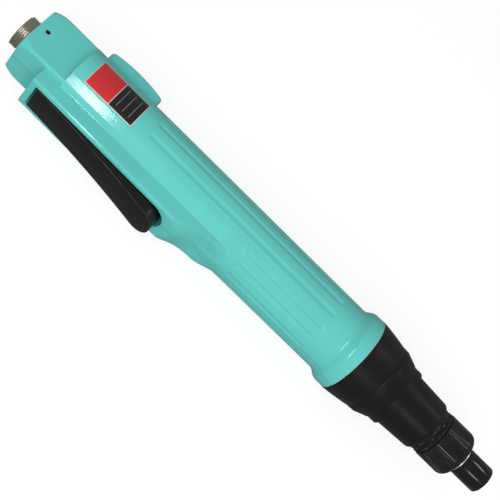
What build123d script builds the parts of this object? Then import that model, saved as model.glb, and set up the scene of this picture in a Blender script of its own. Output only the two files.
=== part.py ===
from build123d import *
import math
import os

# Straight lever-start electric torque screwdriver.
# Millimetres. X runs along the spindle, with the bit end at +X and the origin at the socket's mouth.
# +Z is the label side, -Y the lever side, +Y the side of the direction switch.

# Clearances
running_gap = 0.05
sliding_gap = 0.1
loose_gap = 0.3
end_float = 0.25

# Bit coupler and spindle
hex_across_flats = 6.35
hex_depth = 22.0
spindle_radius = 4.9
spindle_journal_radius = 4.0
socket_lead_in = 0.6
nose_edge = 0.4
journal_flat_distance = 3.2
coupler_radius = 6.95
coupler_length = 15.1
coupler_setback = 0.4
coupler_travel = 3.0
coupler_edge = 1.0
coupler_rear_edge = 0.4
coupler_spring_turns = 4
coupler_spring_pocket_radius = 5.95
coupler_spring_pocket_length = 8.6
lock_ball_radius = 1.2
lock_ball_rise = 0.17
clip_width = 0.8
clip_groove_depth = 0.5
clip_gap = 1.6
washer_length = 1.4
washer_proud = 0.9
washer_radius = 6.9
washer_edge = 0.2

# Torque nut and nose tube
nut_radius = 11.9
nut_length = 15.4
nut_front_wall = 2.6
nut_corner_radius = 3.5
nut_rear_edge = 0.3
nut_travel = 2.0
rib_count = 48
rib_depth = 0.38
thread_radius = 9.6
neck_length = 6.6
neck_radius = 11.65
neck_groove_radius = 11.15
neck_groove_width = 1.5
tube_front_radius = 13.1
tube_rear_radius = 14.0
tube_cone_length = 17.6
tube_shank_radius = 12.6
tube_shank_length = 15.0
tube_flange_radius = 13.5
tube_flange_width = 2.8
tube_bore_radius = 8.6
neck_fillet = 1.9
neck_fillet_sag = 0.45
neck_fillet_end = 0.1

# Nose collar
collar_length = 28.0
collar_rear_radius = 20.0
collar_mid_radius = 19.25
collar_crest_radius = 18.15
collar_waist_radius = 15.7
collar_ring_radius = 15.3
collar_ring_width = 4.4
collar_crest_width = 3.6
collar_slope_length = 6.3
collar_skirt_radius = 17.0
collar_skirt_length = 5.7
collar_tongue_depth = 2.0
collar_bore_radius = 13.6
collar_edge = 0.4
crest_taper = 0.15

# Housing
barrel_radius = 17.25
wall = 2.5
rim_radius = 19.8
flare_length = 10.9
flare_rise_length = 6.3
barrel_length = 162.5
cap_length = 23.6
cap_flat_distance = 12.7
cap_wall = 2.2
cap_rear_radius = 15.4
cap_taper_length = 7.0
cap_taper_bulge = 0.05
rim_swell = 0.1
rim_edge = 0.2
rim_edge_length = 0.4
connector_reach = 5.4
tongue_outer_radius = 18.6
motor_rib_width = 2.0
motor_rib_margin = 3.5
motor_stop_overlap = 3.0
motor_stop_gap = 0.05
flute_count = 15
flute_radius = 3.0
flute_depth = 0.45
flute_length = 114.5
flute_front_margin = 9.0
short_flute_length = 50.0

# Lever and its boss
boss_half_width = 10.5
boss_rear_margin = 9.2
boss_rear_height = 20.6
boss_front_height = 22.5
boss_motor_gap = 12.6
boss_crest = 12.0
boss_ramp_length = 18.0
boss_crest_edge = 2.0
boss_foot_depth = 0.4
ramp_middle_share = 0.42
ramp_middle_rise = 0.35
boss_edge = 1.4
recess_half_width = 7.8
recess_floor = 14.0
recess_rear_margin = 3.0
lever_half_width = 7.25
lever_end_gap = 1.0
lever_tip_gap = 2.0
lever_rear_height = 20.9
lever_mid_height = 23.6
lever_tip_height = 28.9
lever_lower_rear = 15.2
lever_lower_front = 20.6
lever_wall = 1.5
lever_rounding = 0.7
lever_hollow_start = 6.0
lever_pad_height = 17.2
lever_pad_half_length = 2.0
lever_pivot_x_offset = 4.4
lever_pivot_height = 17.5
lever_pin_radius = 1.25
lever_pin_bite = 1.6
lever_travel_deg = 4.6
lever_spring_share = 0.628
lever_spring_radius = 2.4
lever_spring_wire = 0.5
lever_spring_turns = 5

# Start switch
plunger_share = 0.382
plunger_radius = 1.2
plunger_gap = 0.15
plunger_seat = 1.6
switch_length = 20.0
switch_height = 7.0
switch_half_width = 3.2
terminal_height = 2.5
terminal_thickness = 0.8
terminal_half_width = 1.2
terminal_shares = (0.2, 0.8)

# Direction switch and its guard
guard_rear_margin = 5.2
guard_length = 29.3
guard_half_width = 8.5
guard_end_height = 19.75
guard_crown_height = 21.4
guard_roof = 2.6
guard_corner = 2.0
guard_crown_edge = 0.8
rocker_half_length = 7.6
rocker_half_width = 4.2
rocker_pivot_height = 14.6
rocker_top_height = 19.9
rocker_pin_radius = 0.9
rocker_pin_reach = 1.3
rocker_foot_half = 3.0
rocker_foot_drop = 1.7
rocker_side_height = 3.0
rocker_dish = 1.3
rocker_swing_deg = 7.0
rocker_window_gap = 1.0
direction_body_half_length = 9.5
direction_body_floor = 4.0
ear_half_length = 2.6
ear_height = 4.0
ear_gap = 0.4
ear_outer_gap = 1.4

# Label
label_length = 26.5
label_half_angle = 27.5
label_thickness = 0.25
label_rear_margin = 6.2

# Connector
connector_radius = 7.9
connector_shank_radius = 7.5
connector_wall = 1.4
connector_flange_radius = 9.6
connector_flange_width = 3.0
connector_body_radius = 7.3
connector_body_length = 4.4
pin_count = 5
pin_radius = 0.7
pin_circle_radius = 4.0
pin_setback = 1.8
pin_tail = 3.0
insert_setback = 6.8
connector_edge = 0.4
set_screw_radius = 1.15
set_screw_offset = 4.6
set_screw_depth = 0.6
set_screw_socket_radius = 0.6
set_screw_socket_depth = 1.0
set_screw_hole_bottom = 9.0

# Gear train
gear_module = 0.55
pressure_angle = math.radians(25)
sun_teeth = 12
planet_teeth = 15
planet_count = 3
tooth_thinning = 0.05
tip_relief = 0.03
root_factor = 1.25
first_face_width = 7.0
second_face_width = 9.0
carrier_plate = 2.4
planet_pin_radius = 1.25
gear_side_gap = 0.3
ring_wall = 1.15
ring_flange = 2.4
ring_flange_bore = 9.8
ridge_count = 6
ridge_radius = 0.4

# Gear case, clutch and spindle bearing
case_wall = 1.1
case_front_reach = 2.3
case_bulkhead = 1.8
clutch_space = 24.9
clutch_ball_radius = 1.5
clutch_ball_circle = 11.6
plate_hub_depth = 3.0
plate_disc = 2.4
push_sleeve_radius = 7.6
push_sleeve_bore = 5.6
push_flange = 1.6
bearing_outer_radius = 8.0
bearing_width = 5.0
bearing_lip = 0.8
bearing_ball_radius = 0.95
bearing_ball_count = 7
race_thickness = 1.0
race_overlap = 0.1
bearing_hub_wall = 1.4
seat_engagement = 1.4
seat_edge = 0.3
bush_wall = 1.4
torque_spring_length = 44.0
torque_spring_turns = 9
torque_spring_wire = 1.8

# Motor
motor_radius = 13.6
motor_length = 46.0
motor_can_wall = 1.0
motor_front_wall = 1.2
motor_bearing_radius = 4.0
motor_bearing_width = 3.0
motor_bearing_set_in = 0.6
motor_cup_length = 2.4
end_cap_length = 7.0
end_cap_floor = 4.5
end_cap_hollow_radius = 9.5
end_cap_spigot_length = 2.0
end_cap_spigot_wall = 1.35
end_bearing_setback = 1.5
shaft_end_setback = 1.0
shaft_hole_setback = 0.8
motor_boss_radius = 5.0
motor_boss_length = 1.6
shaft_radius = 1.5
magnet_thickness = 2.1
magnet_half_angle = 66
magnet_overhang = 2.0
rotor_radius = 10.0
rotor_length = 22.0
rotor_front_gap = 8.0
pole_count = 5
slot_mouth = 1.4
slot_radius = 2.1
slot_centre = 6.4
coil_length = 3.0
coil_half_width = 2.6
coil_bottom = 3.4
coil_top = 8.2
coil_rounding = 1.2
commutator_radius = 3.6
commutator_length = 7.0
commutator_gap = 3.4
commutator_front_band = 1.0
commutator_slit = 0.4
commutator_slit_bottom = 2.6
brush_length = 4.5
brush_half_width = 1.4
brush_top = 8.9
motor_plate = 2.5
motor_screw_circle = 8.0
motor_screw_radius = 1.2
motor_screw_head_extra = 1.0
plate_hole_extra = 1.0

# Housing screws and circuit board
screw_radius = 1.5
screw_head_radius = 2.1
screw_head_height = 1.8
screw_slot_length = 2.6
screw_slot_width = 0.6
screw_slot_depth = 0.6
screw_reach = 8.8
screw_hole_reach = 9.0
rear_screw_seat = 7.2
front_screw_seat = 9.2
rear_screw_offset = 8.3
front_screw_share = 0.68
front_screw_distance = 9.3
post_radius = 2.7
post_bite = 0.6
board_thickness = 1.6
board_front_gap = 2.0
board_half_width = 9.0
board_height = 6.7
board_rear_offset = 4.0
board_hole_radius = 1.1
board_hole_margin = 3.0
capacitor_radius = 2.6
capacitor_length = 7.0
capacitor_places = (-5.5, 5.5)
capacitor_margin = 6.0
relay_length = 4.5
relay_half_width = 6.0
relay_height = 3.0
relay_margin = 10.0
chip_places = (-6, 0, 6)
chip_length = 6.0
chip_half_width = 2.0
chip_height = 1.4
chip_margin = 2.0

# Stations along the spindle, worked out from the socket's mouth backwards
coupler_rear = -coupler_setback - coupler_length
nut_front = coupler_rear - washer_proud
nut_rear = nut_front - nut_length
neck_front = nut_rear - loose_gap
cone_front = neck_front - neck_length
collar_front = cone_front - tube_cone_length
rim = collar_front - collar_length
flare_start = rim - flare_length
shoulder = flare_start - barrel_length
rear_face = shoulder - cap_length
connector_end = rear_face - connector_reach
connector_thread_front = rear_face - loose_gap
wall_front = rear_face + wall
insert_front = wall_front + connector_flange_width + connector_body_length

case_front = rim + case_front_reach
bulkhead_front = case_front - clutch_space
bulkhead_rear = bulkhead_front - case_bulkhead
ring_front = bulkhead_rear - ridge_radius - end_float
ring_teeth_front = ring_front - ring_flange
hub_rear = bulkhead_rear - bearing_lip
bearing_front = hub_rear + bearing_width
hub_front = bearing_front + bearing_lip
second_carrier_front = hub_rear - 2 * end_float
second_carrier_rear = second_carrier_front - carrier_plate - bearing_lip
second_planet_front = second_carrier_rear - gear_side_gap
second_planet_rear = second_planet_front - second_face_width
first_carrier_front = second_planet_rear - 2 * gear_side_gap
first_carrier_rear = first_carrier_front - carrier_plate
first_planet_front = first_carrier_rear - gear_side_gap
first_planet_rear = first_planet_front - first_face_width
ring_rear = first_planet_rear - 2 * gear_side_gap
motor_plate_front = ring_rear - 2 * end_float
motor_front = motor_plate_front - motor_plate
motor_rear = motor_front - motor_length
core_front = motor_front - rotor_front_gap
core_rear = core_front - rotor_length
commutator_front = core_rear - commutator_gap

# Stations of the clutch, the spindle bearing and the bit lock
plate_rear = ring_front + 2 * clutch_ball_radius + running_gap
plate_hollow_front = max(plate_rear + plate_hub_depth, hub_front + end_float)
plate_front = plate_hollow_front + plate_disc
seat_front = nut_front - nut_front_wall
seat_rear = seat_front - nut_travel - seat_engagement
spring_rear = seat_rear - torque_spring_length
bearing_middle = (hub_rear + bearing_front) / 2
pocket_rear = -coupler_setback - coupler_spring_pocket_length
lock_ball_x = pocket_rear - lock_ball_radius + running_gap

# Radii of the gear train
ring_teeth = sun_teeth + 2 * planet_teeth
gear_centre = gear_module * (sun_teeth + planet_teeth) / 2
ring_pitch_radius = gear_module * ring_teeth / 2
ring_outer_radius = ring_pitch_radius + root_factor * gear_module + ring_wall
case_bore = ring_outer_radius + sliding_gap
case_radius = case_bore + case_wall
cavity_radius = case_radius + running_gap
carrier_radius = ring_flange_bore - loose_gap
bearing_hub_radius = bearing_outer_radius + bearing_hub_wall
race_middle = (spindle_journal_radius + bearing_outer_radius) / 2
bush_radius = spindle_radius + bush_wall
tongue_groove_radius = tongue_outer_radius + sliding_gap

# Stations of the lever, the label and the direction switch
boss_rear = shoulder - boss_rear_margin
boss_centre = motor_rear - boss_motor_gap
recess_rear = boss_rear + recess_rear_margin
recess_tip = boss_centre + recess_half_width
lever_rear = recess_rear + lever_end_gap
lever_tip = recess_tip - lever_tip_gap
pivot_x = lever_rear + lever_pivot_x_offset
plunger_offset = plunger_share * (lever_tip - pivot_x)
plunger_x = pivot_x + plunger_offset
lever_spring_x = pivot_x + lever_spring_share * (lever_tip - pivot_x)
guard_rear = shoulder + guard_rear_margin
guard_middle = guard_rear + guard_length / 2
cap_cavity_half = cap_flat_distance - cap_wall
lever_floor = wall - recess_floor
plunger_stroke = plunger_offset * math.radians(lever_travel_deg)
board_rear = shoulder - board_rear_offset
front_screw_x = shoulder + front_screw_share * (motor_rear - shoulder)
board_front = front_screw_x - post_radius - board_front_gap


def disc(x0, x1, radius):
    """Solid cylinder on the spindle axis between two stations."""
    return Pos((x0 + x1) / 2, 0, 0) * Rot(0, 90, 0) * Cylinder(radius, abs(x1 - x0))


def ring(x0, x1, outer, inner):
    """Tube on the spindle axis between two stations."""
    return disc(x0, x1, outer) - disc(min(x0, x1) - 1, max(x0, x1) + 1, inner)


def block(x0, x1, y0, y1, z0, z1):
    """Box given by its two corners."""
    middle = Pos((x0 + x1) / 2, (y0 + y1) / 2, (z0 + z1) / 2)
    return middle * Box(abs(x1 - x0), abs(y1 - y0), abs(z1 - z0))


def turned(points):
    """Solid turned about the spindle axis from a closed outline of (x, radius) points."""
    return revolve(make_face(Polyline(*points, close=True)), axis=Axis.X)


def turned_curve(*lines):
    """Solid turned about the spindle axis from connected lines and curves."""
    outline = Curve() + list(lines)
    return revolve(make_face(outline), axis=Axis.X)


def upright(x, y0, y1, radius, z=0):
    """Cylinder parallel to Y."""
    return Pos(x, (y0 + y1) / 2, z) * Rot(90, 0, 0) * Cylinder(radius, abs(y1 - y0))


def crossways(x, y, half_length, radius):
    """Cylinder parallel to Z, centred on the split plane."""
    return Pos(x, y, 0) * Cylinder(radius, 2 * half_length)


def save(node, shape):
    """Write one node, whose solids may be one or a group."""
    solids = shape.solids()
    made = solids[0] if len(solids) == 1 else Compound(children=list(solids))
    made.label = node
    export_step(made, os.path.join("parts", node + ".step"))


def around(shape, count, start=0.0):
    """Copies of a shape spaced evenly about the spindle axis."""
    return [Rot(start + 360 * i / count, 0, 0) * shape for i in range(count)]


# Gears

def tooth_half_angle(teeth, radius, thinning):
    """Half the angle that an involute tooth covers at a radius."""
    pitch_radius = gear_module * teeth / 2
    base_radius = pitch_radius * math.cos(pressure_angle)
    at_radius = math.acos(min(1.0, base_radius / radius))
    rolled = math.tan(pressure_angle) - pressure_angle - math.tan(at_radius) + at_radius
    return math.pi / (2 * teeth) - thinning / (2 * pitch_radius) + rolled


def gear_face(teeth, tip_radius, root_radius, thinning, steps, phase=0.0):
    """Flat outline of a gear: involute flanks in a few steps, radial below the base circle."""
    base_radius = gear_module * teeth / 2 * math.cos(pressure_angle)
    start = max(base_radius, root_radius)
    radii = [start + (tip_radius - start) * i / steps for i in range(steps + 1)]
    flank = [(radius, tooth_half_angle(teeth, radius, thinning)) for radius in radii]
    if root_radius < start:
        flank.insert(0, (root_radius, flank[0][1]))
    points = []
    for tooth in range(teeth):
        middle = phase + 2 * math.pi * tooth / teeth
        rising = [(radius, middle - half) for radius, half in flank]
        falling = [(radius, middle + half) for radius, half in reversed(flank)]
        points += [(r * math.cos(a), r * math.sin(a)) for r, a in rising + falling]
    return make_face(Polyline(*points, close=True))


def prism(face, x0, x1):
    """Extrude a flat outline along the spindle from one station to another."""
    return extrude(Plane.YZ.offset(min(x0, x1)) * face, amount=abs(x1 - x0))


def external_gear(teeth, x0, x1, bore, phase=0.0):
    """Spur gear on the spindle axis."""
    pitch_radius = gear_module * teeth / 2
    tip = pitch_radius + gear_module - tip_relief
    root = pitch_radius - root_factor * gear_module
    gear = prism(gear_face(teeth, tip, root, tooth_thinning, 3, phase), x0, x1)
    return gear - disc(x0 - 1, x1 + 1, bore) if bore else gear


def planet_place(index):
    """Angle and centre of one planet."""
    angle = 2 * math.pi * index / planet_count
    return angle, gear_centre * math.cos(angle), gear_centre * math.sin(angle)


def planet(index, x0, x1):
    """One planet gear, a tooth pointing away from the spindle."""
    angle, y, z = planet_place(index)
    bore = planet_pin_radius + running_gap
    return Pos(0, y, z) * external_gear(planet_teeth, x0, x1, bore, angle)


def planet_pins(x0, x1):
    """The pins that the planets turn on."""
    pins = []
    for index in range(planet_count):
        angle, y, z = planet_place(index)
        pins.append(Pos(0, y, z) * disc(x0, x1, planet_pin_radius))
    return Compound(children=pins)


def pin_holes(x0, x1):
    """Holes for the planet pins, the size of the pins."""
    holes = Part()
    for index in range(planet_count):
        angle, y, z = planet_place(index)
        holes += Pos(0, y, z) * disc(x0, x1, planet_pin_radius)
    return holes


def ring_gear():
    """Floating ring gear for both stages, its front flange with ridges for the clutch balls."""
    tip = ring_pitch_radius - gear_module + tip_relief
    root = ring_pitch_radius + root_factor * gear_module
    teeth = prism(gear_face(ring_teeth, root, tip, -tooth_thinning, 2), ring_rear, ring_teeth_front)
    body = disc(ring_rear, ring_front, ring_outer_radius)
    body -= disc(ring_teeth_front - 1, ring_front + 1, ring_flange_bore)
    body -= teeth
    ridge_middle = (ring_flange_bore + ring_outer_radius) / 2
    ridge_half = (ring_outer_radius - ring_flange_bore) / 2 - loose_gap
    bar = Pos(ring_front, 0, ridge_middle) * Cylinder(ridge_radius, 2 * ridge_half)
    for ridge in around(bar, ridge_count, 180 / ridge_count):
        body += ridge
    return body


def sun_gear():
    """Sun gear pressed on the motor shaft."""
    return external_gear(sun_teeth, first_planet_rear, first_carrier_rear - gear_side_gap, shaft_radius)


def first_carrier():
    """First carrier plate, with the second stage's sun on its front."""
    plate = disc(first_carrier_rear, first_carrier_front, carrier_radius)
    sun = external_gear(sun_teeth, first_carrier_front, second_carrier_rear - gear_side_gap, 0)
    return plate + sun - pin_holes(first_carrier_rear - 1, first_carrier_front + 1)


def second_carrier():
    """Second carrier plate, keyed on the spindle's rear journal."""
    plate = disc(second_carrier_rear, second_carrier_front, carrier_radius)
    plate += disc(second_carrier_front, hub_rear, spindle_journal_radius + race_thickness)
    plate -= pin_holes(second_carrier_rear - 1, second_carrier_front - end_float)
    return plate - spindle_key(second_carrier_rear, hub_rear + 1, 0)


def spindle_key(x0, x1, gap):
    """Rear end of the spindle with two flats, which carries the carrier."""
    round_end = disc(x0, x1, spindle_journal_radius - gap)
    flats = block(x0 - 1, x1 + 1, -spindle_journal_radius, spindle_journal_radius,
                  -journal_flat_distance, journal_flat_distance)
    return round_end & flats


# Spindle, coupler and what holds a bit

def spindle():
    """Spindle with a hexagon socket, a ball hole, a clip groove and a stepped rear journal."""
    body = disc(bearing_front, -socket_lead_in, spindle_radius)
    nose = [(-socket_lead_in, 0), (-socket_lead_in, spindle_radius), (0, spindle_radius - nose_edge), (0, 0)]
    body += turned(nose)
    body += disc(hub_rear, bearing_front, spindle_journal_radius)
    body += spindle_key(second_carrier_rear, hub_rear, 0)
    hexagon = RegularPolygon(hex_across_flats / 2, 6, major_radius=False)
    body -= prism(Rot(0, 0, 30) * hexagon, -hex_depth, 1)
    mouth = hex_across_flats / 2 / math.cos(math.pi / 6)
    lead = [(-socket_lead_in, 0), (-socket_lead_in, mouth - nose_edge), (1, mouth + 1 - nose_edge), (1, 0)]
    body -= turned(lead)
    body -= Pos(lock_ball_x, 0, spindle_radius) * Cylinder(lock_ball_radius + running_gap, spindle_radius)
    groove = -coupler_setback - clip_width
    body -= ring(groove, -coupler_setback, spindle_radius + 1, spindle_radius - clip_groove_depth)
    return body


def lock_ball():
    """Ball that locks the bit, held in by the coupler's bore."""
    height = spindle_radius + running_gap - lock_ball_radius
    return Pos(lock_ball_x, 0, height) * Sphere(lock_ball_radius)


def retaining_ring():
    """Split ring in the spindle's groove that holds the coupler spring."""
    front = -coupler_setback
    groove_radius = spindle_radius - clip_groove_depth
    outer = coupler_spring_pocket_radius - sliding_gap
    clip = ring(front - clip_width, front, outer, groove_radius)
    return clip - block(front - clip_width - 1, front + 1, 0, outer + 1, -clip_gap / 2, clip_gap / 2)


def coupler():
    """Black sleeve over the spindle, pocket for its spring in front, relief cone for the ball behind."""
    front = -coupler_setback
    bore = spindle_radius + sliding_gap
    cone_start = lock_ball_x - running_gap
    cone_end = cone_start - coupler_travel
    relief_rear = cone_end - lock_ball_radius
    relief_depth = coupler_travel * lock_ball_rise + sliding_gap
    body = disc(coupler_rear, front, coupler_radius)
    outer_edges = body.edges().filter_by(GeomType.CIRCLE)
    body = fillet(outer_edges.sort_by(Axis.X)[-1], coupler_edge)
    rear_edge = body.edges().filter_by(GeomType.CIRCLE).sort_by(Axis.X)[0]
    body = chamfer(rear_edge, coupler_rear_edge)
    hollow = [
        (coupler_rear - 1, 0),
        (coupler_rear - 1, bore),
        (relief_rear - relief_depth, bore),
        (relief_rear, bore + relief_depth),
        (cone_end, bore + relief_depth),
        (cone_start, bore),
        (pocket_rear, bore),
        (pocket_rear, coupler_spring_pocket_radius),
        (front + 1, coupler_spring_pocket_radius),
        (front + 1, 0),
    ]
    return body - turned(hollow)


def coupler_washer():
    """Bright washer on the spindle behind the coupler."""
    washer = ring(coupler_rear - washer_length, coupler_rear, washer_radius, spindle_radius)
    outer_edges = washer.edges().filter_by(GeomType.CIRCLE).sort_by(SortBy.LENGTH)[-2:]
    return chamfer(outer_edges, washer_edge)


def coil_spring(length, mean_radius, wire, turns):
    """Spring of square wire along +Z, from the origin, its ends cut flat."""
    pitch = (length + wire) / turns
    path = Helix(pitch=pitch, height=length + wire, radius=mean_radius)
    start = Plane(origin=path @ 0, x_dir=(1, 0, 0), z_dir=path % 0)
    body = sweep(start * Rectangle(wire, wire), path=path, is_frenet=True)
    body = Pos(0, 0, -wire / 2) * body
    outer = mean_radius + 2 * wire
    return body & Pos(0, 0, length / 2) * Cylinder(outer, length)


def along_spindle(shape, x):
    """Turn a piece made along +Z so that it lies along +X from a station."""
    return Pos(x, 0, 0) * Rot(0, 90, 0) * shape


def coupler_spring():
    """Spring between the coupler's pocket and the retaining ring."""
    length = coupler_spring_pocket_length - clip_width
    wire = (coupler_spring_pocket_radius - spindle_radius) * 0.6
    mean = (coupler_spring_pocket_radius + spindle_radius) / 2
    return along_spindle(coil_spring(length, mean, wire, coupler_spring_turns), pocket_rear)


# Nose: torque nut, nose tube, collar and clutch

def nut_outline_solid():
    """Turned outline of the nut with its rounded front corner."""
    front = nut_front
    rear = nut_rear
    corner = nut_corner_radius
    middle = corner * (1 - math.cos(math.pi / 4))
    lines = [
        Line((rear, 0), (rear, nut_radius - nut_rear_edge)),
        Line((rear, nut_radius - nut_rear_edge), (rear + nut_rear_edge, nut_radius)),
        Line((rear + nut_rear_edge, nut_radius), (front - corner, nut_radius)),
        ThreePointArc(
            (front - corner, nut_radius),
            (front - middle, nut_radius - middle),
            (front, nut_radius - corner),
        ),
        Line((front, nut_radius - corner), (front, 0)),
        Line((front, 0), (rear, 0)),
    ]
    return turned_curve(*lines)


def ribbed_face(count, outer, depth):
    """Round outline with straight ribs all round."""
    points = []
    pitch = 2 * math.pi / count
    for rib in range(count):
        for share, radius in ((-0.22, outer), (0.22, outer), (0.36, outer - depth), (0.64, outer - depth)):
            angle = pitch * (rib + share)
            points.append((radius * math.cos(angle), radius * math.sin(angle)))
    return make_face(Polyline(*points, close=True))


def torque_nut():
    """Ribbed torque nut: front wall over the spring seat, plain bore on the nose tube's thread."""
    outline = nut_outline_solid()
    ribs = prism(ribbed_face(rib_count, nut_radius + running_gap, rib_depth), nut_rear - 1, nut_front + 1)
    body = outline & ribs
    body -= disc(nut_rear - 1, seat_front, thread_radius + running_gap)
    return body - disc(nut_rear - 1, nut_front + 1, coupler_radius + 2 * sliding_gap)


def nose_tube():
    """Nose tube: flanged shank inside the collar, tapered body, grooved neck, thread for the nut."""
    thread_front = seat_front - loose_gap
    groove_front = neck_front - (neck_length - neck_fillet - neck_groove_width) / 2
    groove_rear = groove_front - neck_groove_width
    shank_rear = collar_front - tube_shank_length
    flange_rear = shank_rear - tube_flange_width
    fillet_front = cone_front + neck_fillet
    step = tube_front_radius - neck_radius
    fillet_middle_radius = tube_front_radius - step * neck_fillet_sag
    fillet_front_radius = neck_radius - step * neck_fillet_end
    lines = [
        Line((flange_rear, 0), (flange_rear, tube_flange_radius)),
        Line((flange_rear, tube_flange_radius), (shank_rear, tube_flange_radius)),
        Line((shank_rear, tube_flange_radius), (shank_rear, tube_shank_radius)),
        Line((shank_rear, tube_shank_radius), (collar_front, tube_shank_radius)),
        Line((collar_front, tube_shank_radius), (collar_front, tube_rear_radius)),
        Line((collar_front, tube_rear_radius), (cone_front, tube_front_radius)),
        ThreePointArc(
            (cone_front, tube_front_radius),
            (cone_front + neck_fillet * math.sqrt(0.5), fillet_middle_radius),
            (fillet_front, fillet_front_radius),
        ),
        Line((fillet_front, fillet_front_radius), (groove_rear, neck_radius)),
        Line((groove_rear, neck_radius), (groove_rear, neck_groove_radius)),
        Line((groove_rear, neck_groove_radius), (groove_front, neck_groove_radius)),
        Line((groove_front, neck_groove_radius), (groove_front, neck_radius)),
        Line((groove_front, neck_radius), (neck_front, neck_radius)),
        Line((neck_front, neck_radius), (neck_front, thread_radius)),
        Line((neck_front, thread_radius), (thread_front, thread_radius)),
        Line((thread_front, thread_radius), (thread_front, 0)),
        Line((thread_front, 0), (flange_rear, 0)),
    ]
    return turned_curve(*lines) - disc(flange_rear - 1, thread_front + 1, tube_bore_radius)


def nose_collar():
    """Stepped black collar: skirt inside the housing's rim, tongue groove, seat for the nose tube."""
    slope_front = collar_front - collar_ring_width
    crest_front = slope_front - collar_slope_length
    crest_rear = crest_front - collar_crest_width
    skirt_rear = rim - collar_skirt_length
    groove_floor = rim + collar_tongue_depth
    seat = collar_front - tube_shank_length
    edge = collar_edge
    lines = [
        Line((skirt_rear, 0), (skirt_rear, collar_skirt_radius)),
        Line((skirt_rear, collar_skirt_radius), (groove_floor, collar_skirt_radius)),
        Line((groove_floor, collar_skirt_radius), (groove_floor, tongue_groove_radius)),
        Line((groove_floor, tongue_groove_radius), (rim, tongue_groove_radius)),
        Line((rim, tongue_groove_radius), (rim, collar_rear_radius)),
        ThreePointArc(
            (rim, collar_rear_radius),
            ((rim + crest_rear) / 2, collar_mid_radius),
            (crest_rear, collar_crest_radius),
        ),
        Line((crest_rear, collar_crest_radius), (crest_front, collar_crest_radius - crest_taper)),
        Line((crest_front, collar_crest_radius - crest_taper), (slope_front, collar_waist_radius)),
        Line((slope_front, collar_waist_radius), (slope_front, collar_ring_radius)),
        Line((slope_front, collar_ring_radius), (collar_front - edge, collar_ring_radius)),
        Line((collar_front - edge, collar_ring_radius), (collar_front, collar_ring_radius - edge)),
        Line((collar_front, collar_ring_radius - edge), (collar_front, 0)),
        Line((collar_front, 0), (skirt_rear, 0)),
    ]
    body = turned_curve(*lines)
    body -= disc(skirt_rear - 1, case_front + end_float, case_radius + running_gap)
    body -= disc(case_front, seat, collar_bore_radius)
    return body - disc(seat - 1, collar_front + 1, tube_shank_radius + running_gap)


def gear_case():
    """Steel gear case: bore for the ring gear, bulkhead with the ball holes, hub for the bearing."""
    body = ring(motor_front, case_front, case_radius, case_bore)
    body += disc(bulkhead_rear, bulkhead_front, case_bore + case_wall / 2)
    body += disc(hub_rear, hub_front, bearing_hub_radius)
    body -= disc(hub_rear - 1, bearing_front, bearing_outer_radius)
    body -= disc(hub_rear - 1, hub_front + 1, bearing_outer_radius - race_thickness)
    hole = Pos(0, 0, clutch_ball_circle) * disc(
        bulkhead_rear - 1, bulkhead_front + 1, clutch_ball_radius + running_gap
    )
    for cut in around(hole, ridge_count):
        body -= cut
    return body


def clutch_balls():
    """Clutch balls between the ring gear's flange and the pressure plate."""
    x = ring_front + clutch_ball_radius + running_gap / 2
    ball = Pos(x, 0, clutch_ball_circle) * Sphere(clutch_ball_radius)
    return Compound(children=around(ball, ridge_count))


def pressure_plate():
    """Cup-shaped plate that the clutch balls push forwards."""
    body = disc(plate_rear, plate_front, case_bore - sliding_gap)
    body -= disc(plate_rear - 1, plate_hollow_front, bearing_hub_radius + loose_gap)
    return body - disc(plate_rear - 1, plate_front + 1, push_sleeve_bore)


def push_sleeve():
    """Sleeve that carries the plate's push to the torque spring."""
    body = disc(plate_front, spring_rear, push_sleeve_radius)
    body += disc(spring_rear - push_flange, spring_rear, tube_bore_radius - sliding_gap)
    return body - disc(plate_front - 1, spring_rear + 1, push_sleeve_bore)


def torque_spring():
    """Torque spring of square wire in the nose tube's bore."""
    mean = (push_sleeve_bore + tube_bore_radius + sliding_gap) / 2
    spring = coil_spring(torque_spring_length, mean, torque_spring_wire, torque_spring_turns)
    return along_spindle(spring, spring_rear)


def spring_seat():
    """Ring that the nut pushes back against the torque spring."""
    body = ring(seat_rear, seat_front, tube_bore_radius - sliding_gap, bush_radius)
    return chamfer(body.edges().filter_by(GeomType.CIRCLE).sort_by(Axis.X)[-2:], seat_edge)


def spindle_bush():
    """Sintered bush in the spring seat, around the spindle."""
    return ring(seat_rear, seat_front, bush_radius, spindle_radius + running_gap)


def race_groove():
    """Round track for the bearing's balls."""
    return Pos(bearing_middle, 0, 0) * Rot(0, 90, 0) * Torus(race_middle, bearing_ball_radius + running_gap)


def bearing_outer_race():
    """Outer race of the spindle bearing."""
    inner = bearing_outer_radius - race_thickness - race_overlap
    return ring(hub_rear, bearing_front, bearing_outer_radius, inner) - race_groove()


def bearing_inner_race():
    """Inner race of the spindle bearing, on the spindle's journal."""
    outer = spindle_journal_radius + race_thickness + race_overlap
    return ring(hub_rear, bearing_front, outer, spindle_journal_radius) - race_groove()


def bearing_balls():
    """Balls of the spindle bearing."""
    ball = Pos(bearing_middle, 0, race_middle) * Sphere(bearing_ball_radius)
    return Compound(children=around(ball, bearing_ball_count))


# Motor

def motor_can():
    """Steel can with a closed front, a bearing boss and two screw holes."""
    rear = motor_rear + end_cap_length
    body = ring(rear, motor_front, motor_radius, motor_radius - motor_can_wall)
    body += disc(motor_front - motor_front_wall, motor_front, motor_radius)
    body += disc(motor_front - motor_cup_length, motor_front + motor_boss_length, motor_boss_radius)
    body -= disc(motor_front - 3, motor_front + motor_bearing_set_in, motor_bearing_radius)
    body -= disc(motor_front - 3, motor_front + 3, shaft_radius + sliding_gap)
    hole = Pos(0, motor_screw_circle, 0) * disc(motor_front - 2, motor_front + 1, motor_screw_radius)
    for cut in around(hole, 2):
        body -= cut
    return body


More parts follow.
